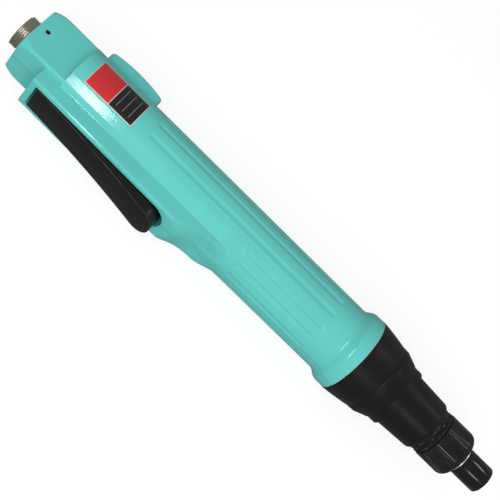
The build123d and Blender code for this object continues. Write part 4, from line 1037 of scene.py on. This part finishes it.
@dataclass
class Controls:
    """Start lever, its spring, and the rocker of the direction switch."""

    rear: float = -262.9
    tip: float = -189.2
    half_width: float = 7.25
    rear_height: float = 20.9
    middle_height: float = 23.6
    tip_height: float = 28.75
    lower_rear: float = 15.2
    lower_front: float = 20.6
    wall: float = 1.5
    rounding: float = 0.45
    pivot_x: float = -258.5
    pivot_height: float = 17.5
    pin_radius: float = 1.3
    stations: int = 25
    tip_steps: int = 12
    spring_x: float = -215.0
    spring_radius: float = 2.4
    wire_radius: float = 0.25
    spring_foot: float = 14.0
    spring_gap: float = 0.1
    spring_turns: float = 5.0
    spring_keep: float = 0.62
    rocker_x: float = -237.85
    rocker_half_length: float = 7.6
    rocker_half_width: float = 4.2
    rocker_top: float = 19.9
    rocker_side: float = 3.0
    rocker_foot_half: float = 3.0
    rocker_foot: float = 12.9
    rocker_dish: float = 1.3
    rocker_steps: int = 16
    rocker_edge: float = 0.35
    grip_lines: tuple[int, ...] = (2, 4, 12, 14)
    grip_rise: float = 0.3
    axle_radius: float = 0.9
    axle_reach: float = 1.3
    axle_height: float = 14.6
    axle_edge: float = 0.15

    def build(self) -> None:
        """Make the lever, its spring and the rocker."""
        self.lever()
        self.spring()
        self.rocker()

    def outer_height(self, x: float) -> float:
        """Height of the lever's bowed outer face at a station."""
        share = (x - self.rear) / (self.tip - self.rear)
        return bowed(share, self.rear_height, self.middle_height, self.tip_height)

    def lower_height(self, x: float) -> float:
        """Height of the lever's open edge at a station."""
        share = (x - self.rear) / (self.tip - self.rear)
        return self.lower_rear + (self.lower_front - self.lower_rear) * share

    def plan(self) -> list[tuple[float, float]]:
        """Draw the lever from above: two straight sides and a round tip.

        Returns:
            Corners as (x, z).
        """
        centre = self.tip - self.half_width
        side = [self.rear + (centre - self.rear) * step / self.stations for step in range(self.stations + 1)]
        tip = arc((centre, 0.0), self.half_width, -90.0, 90.0, self.tip_steps)[1:-1]
        return [(x, -self.half_width) for x in side] + tip + [(x, self.half_width) for x in reversed(side)]

    def lever(self) -> None:
        """Extrude the lever's plan, press both sides to their curves, hollow it and round it."""
        plan = self.plan()
        bench = Bench.outline("start_lever", [(x, 0.0, z) for x, z in plan])
        bpy.ops.mesh.edge_face_add()
        bpy.ops.mesh.extrude_region_move(TRANSFORM_OT_translate={"value": (0, -MM, 0)})
        stations = sorted({round(x, 6) for x, z in plan})
        for station in stations[1:-1]:
            bench.score((station, 0, 0))
        for station in stations:
            for far, height in ((True, self.outer_height(station) - 1), (False, self.lower_height(station))):
                bench.pick(lambda place: abs(place.x / MM - station) < NEAR
                           and (place.y < -MM / 2) == far and place.y > -2 * MM)
                bench.move(y=-height)
        bench.pick_faces(lambda place, normal: abs(normal.y) > 0.5 and -2 * place.y / MM
                         < self.lower_height(place.x / MM) + self.outer_height(place.x / MM))
        bpy.ops.mesh.delete(type="FACE")
        bench.pick_all()
        bpy.ops.mesh.normals_make_consistent(inside=False)
        bench.thicken(self.wall, -1.0)
        bore = Bench("pin_bore", bpy.ops.mesh.primitive_cylinder_add, vertices=48,
                     radius=self.pin_radius * MM, depth=4 * self.half_width * MM,
                     location=(self.pivot_x * MM, -self.pivot_height * MM, 0))
        bench.combine(bore)
        bench.round_edges(self.rounding, angle=40)
        bench.finish("lever", Surface.BLACK_LEVER, "black_lever", "lever", smooth=40)

    def spring(self) -> None:
        """Wind the lever's spring about the origin, then move it to its place."""
        top = self.outer_height(self.spring_x) - self.wall - self.spring_gap
        foot = self.spring_foot + self.wire_radius
        section = wire_section((self.spring_radius, -foot), self.wire_radius)
        bench = Bench.outline("lever_return_spring", [(x, y, 0.0) for x, y in section])
        wind(bench, Axis.SWITCH, self.spring_turns, foot + self.wire_radius - top)
        bench.pick_all()
        bench.move(x=self.spring_x)
        spring = bench.finish("housing", Surface.SPRING_STEEL, "spring_steel", "lever_spring", smooth=50)
        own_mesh(spring)

    def rocker(self) -> None:
        """Shape the rocker from a block: tapered foot, dished top with grip lines, and its axle."""
        depth = self.rocker_top - self.rocker_foot
        bench = Bench("rocker_cap", bpy.ops.mesh.primitive_cube_add, size=1.0,
                      location=(self.rocker_x * MM, (self.rocker_top - depth / 2) * MM, 0),
                      scale=(2 * self.rocker_half_length * MM, depth * MM, 2 * self.rocker_half_width * MM))
        bench.edit()
        bench.score((0, self.rocker_top - self.rocker_side, 0), (0, 1, 0))
        bench.pick(lambda place: place.y / MM < self.rocker_foot + MARGIN)
        bench.squeeze((self.rocker_foot_half / self.rocker_half_length, 1, 1), (self.rocker_x, 0, 0))
        shares = [2 * step / self.rocker_steps - 1 for step in range(1, self.rocker_steps)]
        for share in shares:
            bench.score((self.rocker_x + self.rocker_half_length * share, 0, 0))
        for step, share in enumerate(shares, 1):
            station = self.rocker_x + self.rocker_half_length * share
            grip = self.grip_rise if step in self.grip_lines else 0.0
            bench.pick(lambda place: abs(place.x / MM - station) < NEAR
                       and place.y / MM > self.rocker_top - MARGIN)
            bench.move(y=-self.rocker_dish * (1 - share * share) - grip)
        bench.round_edges(self.rocker_edge, angle=45)
        axle = Bench("rocker_axle", bpy.ops.mesh.primitive_cylinder_add, vertices=40,
                     radius=self.axle_radius * MM, depth=2 * (self.rocker_half_width + self.axle_reach) * MM,
                     location=(self.rocker_x * MM, self.axle_height * MM, 0))
        axle.round_edges(self.axle_edge, segments=2, angle=40)
        join(bench, axle).finish("rocker", Surface.BLACK_LEVER, "black_lever", "direction_rocker")


@dataclass
class BossFairing:
    """Skin that lets the front corners of the lever boss run out into the barrel."""

    ramp_centre: float = -195.0
    ramp_reach: float = 30.0
    overlap: float = 0.5
    half_width: float = 10.52
    height: float = 16.87
    side_foot: float = 12.9
    side_steps: int = 4
    top_steps: int = 24
    sunk_radius: float = 16.75
    length: float = 15.0
    rows: int = 10
    thickness: float = 0.5

    def section(self) -> list[tuple[float, float]]:
        """Draw the boss's end section, from one side wall over the top to the other.

        Returns:
            Corners as (y, z).
        """
        wall = [(-self.side_foot - (self.height - self.side_foot) * step / self.side_steps, self.half_width)
                for step in range(self.side_steps)]
        top = [(-self.height, self.half_width * (1 - 2 * step / self.top_steps))
               for step in range(self.top_steps + 1)]
        return wall + top + [(y, -z) for y, z in reversed(wall)]

    def row(self, share: float) -> list[Place]:
        """Section line at a share of the skin's length, sunk towards the barrel by that share.

        Args:
            share: 0 at the boss, 1 at the front end.

        Returns:
            Points of the line.
        """
        left = 1 - share * share * (3 - 2 * share)
        points = []
        for y, z in self.section():
            radius = math.hypot(y, z)
            scale = (self.sunk_radius + (radius - self.sunk_radius) * left) / radius
            start = self.ramp_centre + math.sqrt(self.ramp_reach ** 2 - z * z) - self.overlap
            points.append((start + self.length * share, y * scale, z * scale))
        return points

    def build(self) -> None:
        """Draw the lines, bridge them, turn the skin outwards and give it its thickness inwards."""
        bench = join(*(Bench.outline("boss_fairing", self.row(step / self.rows), closed=False)
                       for step in range(self.rows + 1)))
        bench.edit()
        bench.pick_all()
        bpy.ops.mesh.bridge_edge_loops()
        bench.pick_all()
        bpy.ops.mesh.normals_make_consistent(inside=False)
        bench.pick_faces(lambda place, normal: True)
        if sum(face.normal.y for face in bmesh.from_edit_mesh(bench.piece.data).faces) > 0:
            bpy.ops.mesh.flip_normals()
        bench.thicken(self.thickness, -1.0)
        bench.finish("housing", Surface.TEAL_SHELL, "teal_shell")


@dataclass
class Nose:
    """Black collar, nose tube with its ribbed lands, and the torque nut."""

    rim: float = -84.3
    skirt_rear: float = -90.0
    skirt_radius: float = 17.0
    bore_rear: float = -81.75
    case_bore: float = 14.638
    flange_bore: float = 13.6
    tube_bore: float = 12.65
    seat: float = -71.3
    tongue_depth: float = 2.0
    tongue_radius: float = 18.7
    collar_front: float = -56.3
    collar_edge: float = 0.22
    rear_radius: float = 20.0
    middle_radius: float = 19.25
    swell_steps: int = 8
    crest_radius: float = 18.15
    crest_width: float = 3.6
    crest_taper: float = 0.15
    bead_length: float = 0.35
    bead_depth: float = 0.18
    bead_rise: float = 0.02
    slope_length: float = 6.3
    slope_end: float = 0.3
    waist_rear_radius: float = 15.8
    waist_radius: float = 15.45
    ring_radius: float = 15.3
    ring_width: float = 4.4
    cone_front: float = -38.7
    neck_front: float = -32.1
    tube_rear_radius: float = 14.0
    tube_band: float = 0.5
    tube_front_radius: float = 13.1
    tube_edge: float = 0.16
    fillet_length: float = 1.9
    fillet_sink: float = 0.15
    fillet_angles: tuple[float, ...] = (0, 25, 50, 70, 82, 90)
    neck_radius: float = 11.65
    rear_land: tuple[float, float] = (-36.7, -35.2)
    front_land_rear: float = -33.7
    land_edge: float = 0.1
    land_rib_count: int = 72
    land_rib_squeeze: float = 0.976
    groove_radius: float = 11.0
    thread_radius: float = 9.6
    thread_front: float = -19.3
    tube_inner: float = 8.6
    shank_radius: float = 12.6
    flange_radius: float = 13.5
    flange_width: float = 2.8
    nut_rear: float = -31.8
    nut_front: float = -16.4
    nut_radius: float = 11.9
    nut_rear_edge: float = 0.35
    nut_band: float = 1.1
    nut_corner: float = 3.5
    nut_bore: float = 9.65
    nut_wall: float = 2.57
    nut_mouth: float = 7.15
    nut_mouth_edge: float = 0.4
    nut_rib_count: int = 48
    nut_rib_steps: int = 6
    nut_groove_steps: tuple[int, ...] = (2, 3, 4)
    nut_rib_depth: float = 2.6
    nut_rib_squeeze: float = 0.972

    def build(self) -> None:
        """Make the collar, the tube and the nut."""
        self.collar()
        self.tube()
        self.nut()

    def collar(self) -> None:
        """Turn the collar with its bands and round its edges."""
        slope_front = self.collar_front - self.ring_width
        crest_front = slope_front - self.slope_length
        crest_rear = crest_front - self.crest_width
        swell = []
        for step in range(self.swell_steps + 1):
            share = step / self.swell_steps
            swell.append((self.rim + (crest_rear - self.rim) * share,
                          bowed(share, self.rear_radius, self.middle_radius, self.crest_radius)))
        tongue_front = self.rim + self.tongue_depth
        profile = [
            (self.skirt_rear, self.case_bore), (self.skirt_rear, self.skirt_radius),
            (tongue_front, self.skirt_radius), (tongue_front, self.tongue_radius),
            (self.rim, self.tongue_radius), *swell,
            (crest_rear + self.bead_length, self.crest_radius - self.bead_depth),
            (crest_rear + 2 * self.bead_length, self.crest_radius - self.bead_rise),
            (crest_front, self.crest_radius - self.crest_taper),
            (slope_front - self.slope_end, self.waist_rear_radius), (slope_front, self.waist_radius),
            (slope_front, self.ring_radius), (self.collar_front, self.ring_radius),
            (self.collar_front, self.tube_bore), (self.seat, self.tube_bore), (self.seat, self.flange_bore),
            (self.bore_rear, self.flange_bore), (self.bore_rear, self.case_bore),
        ]
        bench = Bench.turned("collar", profile, steps=160)
        bench.round_edges(self.collar_edge, angle=28)
        bench.finish("housing", Surface.BLACK_NOSE, "black_nose", "nose_collar")

    def tube(self) -> None:
        """Turn the nose tube, round its edges and rib the two lands of its neck."""
        fall = self.tube_front_radius - self.neck_radius + self.fillet_sink
        fillet = [(self.cone_front + self.fillet_length * math.sin(math.radians(angle)),
                   self.tube_front_radius - fall * (1 - math.cos(math.radians(angle))))
                  for angle in self.fillet_angles]
        flange_rear = self.seat - self.flange_width
        lands = (self.rear_land, (self.front_land_rear, self.neck_front))
        profile = [
            (flange_rear, self.tube_inner), (flange_rear, self.flange_radius),
            (self.seat, self.flange_radius), (self.seat, self.shank_radius),
            (self.collar_front, self.shank_radius), (self.collar_front, self.tube_rear_radius),
            (self.collar_front + self.tube_band, self.tube_rear_radius), *fillet,
            (self.rear_land[0] - self.land_edge, self.neck_radius - self.fillet_sink),
            (self.rear_land[0], self.neck_radius), (self.rear_land[1], self.neck_radius),
            (self.rear_land[1], self.groove_radius), (self.front_land_rear, self.groove_radius),
            (self.front_land_rear, self.neck_radius), (self.neck_front, self.neck_radius),
            (self.neck_front, self.thread_radius), (self.thread_front, self.thread_radius),
            (self.thread_front, self.tube_inner),
        ]
        bench = Bench.turned("clutch_tube", profile, steps=2 * self.land_rib_count)
        bench.round_edges(self.tube_edge, segments=2, angle=28)
        bench.edit()
        pitch = math.pi / self.land_rib_count

        def in_groove(place: Vector) -> bool:
            """Tell whether a place lies on every second line of the lands' outer faces.

            Args:
                place: the place, in metres.

            Returns:
                True where the land is pressed inwards.
            """
            radius = math.hypot(place.y, place.z)
            step = round(math.atan2(place.y, place.z) / pitch)
            on_land = any(low - 3 * MARGIN < place.x / MM < high + MARGIN / 2 for low, high in lands)
            return on_land and radius > (self.neck_radius - 2 * MARGIN) * MM and step % 2 == 0

        bench.pick(in_groove)
        bench.squeeze((1.0, self.land_rib_squeeze, self.land_rib_squeeze))
        bench.finish("housing", Surface.BLACK_NOSE, "black_nose", "nose_tube", smooth=30)

    def nut(self) -> None:
        """Turn the nut with its rounded front and press the grooves between its ribs inwards."""
        corner = arc((self.nut_front - self.nut_corner, self.nut_radius - self.nut_corner), self.nut_corner,
                     90.0, 8.0, 7)
        wall_rear = self.nut_front - self.nut_wall
        profile = [
            (self.nut_rear, self.nut_bore), (self.nut_rear, self.nut_radius - self.nut_rear_edge),
            (self.nut_rear + self.nut_rear_edge, self.nut_radius),
            (self.nut_rear + self.nut_band, self.nut_radius), *corner,
            (self.nut_front, self.nut_radius - self.nut_corner),
            (self.nut_front, self.nut_mouth + self.nut_mouth_edge),
            (self.nut_front - self.nut_mouth_edge, self.nut_mouth), (wall_rear, self.nut_mouth),
            (wall_rear, self.nut_bore),
        ]
        steps = self.nut_rib_steps * self.nut_rib_count
        bench = Bench.turned("ribbed_nut", profile, steps=steps)
        pitch = 2 * math.pi / steps

        def between_ribs(place: Vector) -> bool:
            """Tell whether a place lies on the outer lines between two ribs.

            Args:
                place: the place, in metres.

            Returns:
                True where the nut is pressed inwards.
            """
            radius = math.hypot(place.y, place.z)
            step = round(math.atan2(place.y, place.z) / pitch) % self.nut_rib_steps
            outside = radius > (self.nut_radius - self.nut_rib_depth) * MM
            return outside and place.x / MM > self.nut_rear + 5 * MARGIN and step in self.nut_groove_steps

        bench.pick(between_ribs)
        bench.squeeze((1.0, self.nut_rib_squeeze, self.nut_rib_squeeze))
        bench.finish("nut", Surface.BLACK_NUT, "black_nose", "torque_nut", smooth=24)


@dataclass
class BitCoupler:
    """Black bit sleeve, its spring and the bright washer behind it."""

    rear: float = -14.8
    front: float = -0.4
    radius: float = 6.95
    front_round: float = 1.0
    rear_edge: float = 0.4
    fine_edge: float = 0.1
    bore: float = 5.0
    pocket_radius: float = 5.95
    pocket_rear: float = -9.0
    land_rear: float = -10.2
    travel: float = 3.0
    relief: float = 0.61
    relief_length: float = 1.2
    spring_front: float = -1.2
    spring_mean: float = 5.425
    wire_radius: float = 0.31
    spring_gap: float = 0.031
    spring_turns: float = 4.0
    spring_keep: float = 0.6
    washer_rear: float = -16.9
    washer_radius: float = 6.9
    washer_bore: float = 4.9
    washer_edge: float = 0.25

    def build(self) -> None:
        """Make the sleeve, the washer and the sleeve's spring."""
        self.sleeve()
        self.washer()
        self.spring()

    def sleeve(self) -> None:
        """Turn the sleeve, with the pocket of its spring and the relief that the ball moves out into."""
        corner = arc((self.front - self.front_round, self.radius - self.front_round), self.front_round,
                     90.0, 0.0)
        cone_rear = self.land_rear - self.travel
        relief_rear = cone_rear - self.relief_length
        profile = [
            (self.rear, self.bore), (self.rear, self.radius - self.rear_edge),
            (self.rear + self.rear_edge, self.radius), *corner,
            (self.front, self.pocket_radius), (self.pocket_rear, self.pocket_radius),
            (self.pocket_rear, self.bore), (self.land_rear, self.bore), (cone_rear, self.bore + self.relief),
            (relief_rear, self.bore + self.relief), (relief_rear - self.relief, self.bore),
        ]
        sleeve = Bench.turned("bit_sleeve", profile)
        sleeve.round_edges(self.fine_edge, segments=2, angle=40)
        sleeve.finish("coupler", Surface.BLACK_METAL, "black_metal", "coupler")

    def washer(self) -> None:
        """Turn the washer with its two bevelled edges."""
        edge_radius = self.washer_radius - self.washer_edge
        washer = Bench.turned("bright_washer", [
            (self.washer_rear, self.washer_bore), (self.washer_rear, edge_radius),
            (self.washer_rear + self.washer_edge, self.washer_radius),
            (self.rear - self.washer_edge, self.washer_radius), (self.rear, edge_radius),
            (self.rear, self.washer_bore)])
        washer.finish("spindle", Surface.BRIGHT_RING, "nickel", "coupler_washer")

    def spring(self) -> None:
        """Wind the spring in the sleeve's pocket, which the pulled sleeve presses against its ring."""
        inset = self.wire_radius + self.spring_gap
        rise = self.spring_front - self.pocket_rear - 2 * inset
        section = wire_section((self.pocket_rear + inset, self.spring_mean), self.wire_radius)
        bench = Bench.outline("sleeve_spring", [(x, 0.0, radius) for x, radius in section])
        wind(bench, Axis.SPINDLE, self.spring_turns, rise)
        spring = bench.finish("spindle", Surface.SPRING_STEEL, "spring_steel", "coupler_spring", smooth=50)
        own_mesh(spring)


@dataclass
class Works:
    """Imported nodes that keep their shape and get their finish."""

    finishes: tuple[tuple[Surface, tuple[str, ...]], ...] = (
        (Surface.TEAL_SHELL, ("housing_top", "housing_bottom")),
        (Surface.STEEL, ("housing_screws", "lever_pin", "motor_can", "motor_bearings", "motor_shaft",
                         "rotor_core", "motor_plate", "motor_screws", "gear_case", "ring_gear", "sun_gear",
                         "first_carrier", "first_planet_pins", "second_carrier", "second_planet_pins",
                         "spindle", "bearing_outer_race", "bearing_inner_race", "pressure_plate",
                         "push_sleeve", "spring_seat")),
        (Surface.STEEL, tuple(f"first_planet_{number}" for number in (1, 2, 3))),
        (Surface.STEEL, tuple(f"second_planet_{number}" for number in (1, 2, 3))),
        (Surface.NICKEL, ("bearing_balls", "clutch_balls", "lock_ball")),
        (Surface.SPRING_STEEL, ("torque_spring", "retaining_ring")),
        (Surface.BRONZE, ("spindle_bush",)),
        (Surface.COPPER, ("rotor_windings", "commutator")),
        (Surface.BOARD, ("circuit_board",)),
        (Surface.INSULATOR, ("board_parts", "start_switch", "direction_switch")),
        (Surface.FERRITE, ("motor_magnets",)),
        (Surface.CARBON, ("motor_brushes",)),
        (Surface.BLACK_METAL, ("connector_screw",)),
        (Surface.PALE_PLASTIC, ("motor_end_cap", "switch_plunger")),
    )

    def build(self) -> None:
        """Dress each carried-over node."""
        for surface, nodes in self.finishes:
            for node in nodes:
                surface.dress(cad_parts[node])
                log.info("%s: %s", node, surface.value.title)


# The studio


@dataclass(frozen=True)
class Lamp:
    """One rectangular lamp; places and sizes are in millimetres."""

    name: str
    place: Place
    target: Place
    size: tuple[float, float]
    watts: float
    mirrored: bool = True

    def hang(self) -> None:
        """Hang the lamp at its place, turned to its target."""
        data = bpy.data.lights.new(self.name, "AREA")
        data.shape = "RECTANGLE"
        data.size, data.size_y = self.size[0] * MM, self.size[1] * MM
        data.energy = self.watts
        lamp = bpy.data.objects.new(self.name, data)
        bpy.context.scene.collection.objects.link(lamp)
        lamp.visible_glossy = self.mirrored
        lamp.location = Vector(self.place) * MM
        lamp.rotation_mode = "QUATERNION"
        lamp.rotation_quaternion = (Vector(self.target) - Vector(self.place)).to_track_quat("-Z", "Y")


@dataclass
class Studio:
    """Floor, world, lamps and camera."""

    floor_height: float = -20.1
    floor_middle: float = -140.0
    floor_size: float = 4000.0
    floor_grey: float = 0.34
    floor_glow: float = 0.78
    world_light: float = 0.36
    camera_place: Place = (-221.1, -304.4, 451.3)
    aim: Place = (-150.4, 0.87, 0.59)
    slope_degrees: float = 44.43
    focal_length: float = 90.0
    sensor_width: float = 36.0
    lamps: tuple[Lamp, ...] = (
        Lamp("lens_strip", (-268, -325, 450), (-268, 0, 0), (34, 300), 0.68),
        Lamp("soft_left", (-150, -820, 572), (-150, 0, 0), (1000, 1000), 5.2, mirrored=False),
        Lamp("front_left", (230, -587, 381), (-15, 0, 0), (140, 90), 0.3),
        Lamp("front_right", (230, 307, 629), (-15, 0, 0), (140, 90), 0.3),
    )

    def build(self) -> None:
        """Set up everything round the tool."""
        self.floor()
        self.world()
        for lamp in self.lamps:
            lamp.hang()
        self.camera()
        bpy.context.scene.view_settings.view_transform = "Standard"

    def floor(self) -> None:
        """Lay a wide floor that is white to the camera and still takes the tool's shadow."""
        select()
        bpy.ops.mesh.primitive_plane_add(size=self.floor_size * MM,
                                         location=(self.floor_middle * MM, 0, self.floor_height * MM))
        floor = bpy.context.object
        floor.name = "floor"
        bpy.ops.object.transform_apply(location=True, rotation=True, scale=True)
        made = bpy.data.materials.new("floor_white")
        tree = Tree.emptied(made)
        straight = tree.add("ShaderNodeLightPath").outputs["Is Camera Ray"]
        grey = (self.floor_grey, self.floor_grey, self.floor_grey, 1.0)
        card = tree.add("ShaderNodeBsdfDiffuse", {"Color": grey})
        glow = tree.add("ShaderNodeEmission", {
            "Color": WHITE, "Strength": tree.math("MULTIPLY", straight, self.floor_glow)})
        both = tree.add("ShaderNodeAddShader", {0: card.outputs[0], 1: glow.outputs[0]})
        tree.add("ShaderNodeOutputMaterial", {0: both.outputs[0]})
        floor.data.materials.append(made)

    def world(self) -> None:
        """Light the tool evenly from all round, and be white to the camera."""
        world = bpy.data.worlds.new("studio")
        bpy.context.scene.world = world
        tree = Tree.emptied(world)
        straight = tree.add("ShaderNodeLightPath").outputs["Is Camera Ray"]
        strength = tree.math("ADD", self.world_light, tree.math("MULTIPLY", straight, 1 - self.world_light))
        back = tree.add("ShaderNodeBackground", {"Color": WHITE, "Strength": strength})
        tree.add("ShaderNodeOutputWorld", {0: back.outputs[0]})

    def camera(self) -> None:
        """Set the camera at the photograph's angle, rolled so that the nose points down to the right."""
        place = Vector(self.camera_place)
        forward = (Vector(self.aim) - place).normalized()
        spindle = Vector((1, 0, 0))
        along = (spindle - forward * spindle.dot(forward)).normalized()
        beside = (-forward).cross(along)
        slope = math.radians(self.slope_degrees)
        right = along * math.cos(slope) + beside * math.sin(slope)
        up = -along * math.sin(slope) + beside * math.cos(slope)
        turn = Matrix((right, up, -forward)).transposed().to_4x4()
        data = bpy.data.cameras.new("camera")
        data.lens = self.focal_length
        data.sensor_width = self.sensor_width
        data.clip_start, data.clip_end = 0.01, 20.0
        camera = bpy.data.objects.new("camera", data)
        bpy.context.scene.collection.objects.link(camera)
        camera.matrix_world = Matrix.Translation(place * MM) @ turn
        bpy.context.scene.camera = camera


def main() -> None:
    """Build the studio and every sub-assembly in order."""
    logging.basicConfig(level=logging.INFO, format="%(name)s %(message)s")
    for assembly in (Studio(), Works(), Connector(), RatingPlate(), Controls(), BossFairing(), Nose(),
                     BitCoupler()):
        assembly.build()
        log.info("%s is built", type(assembly).__name__)


if __name__ == "__main__":
    main()
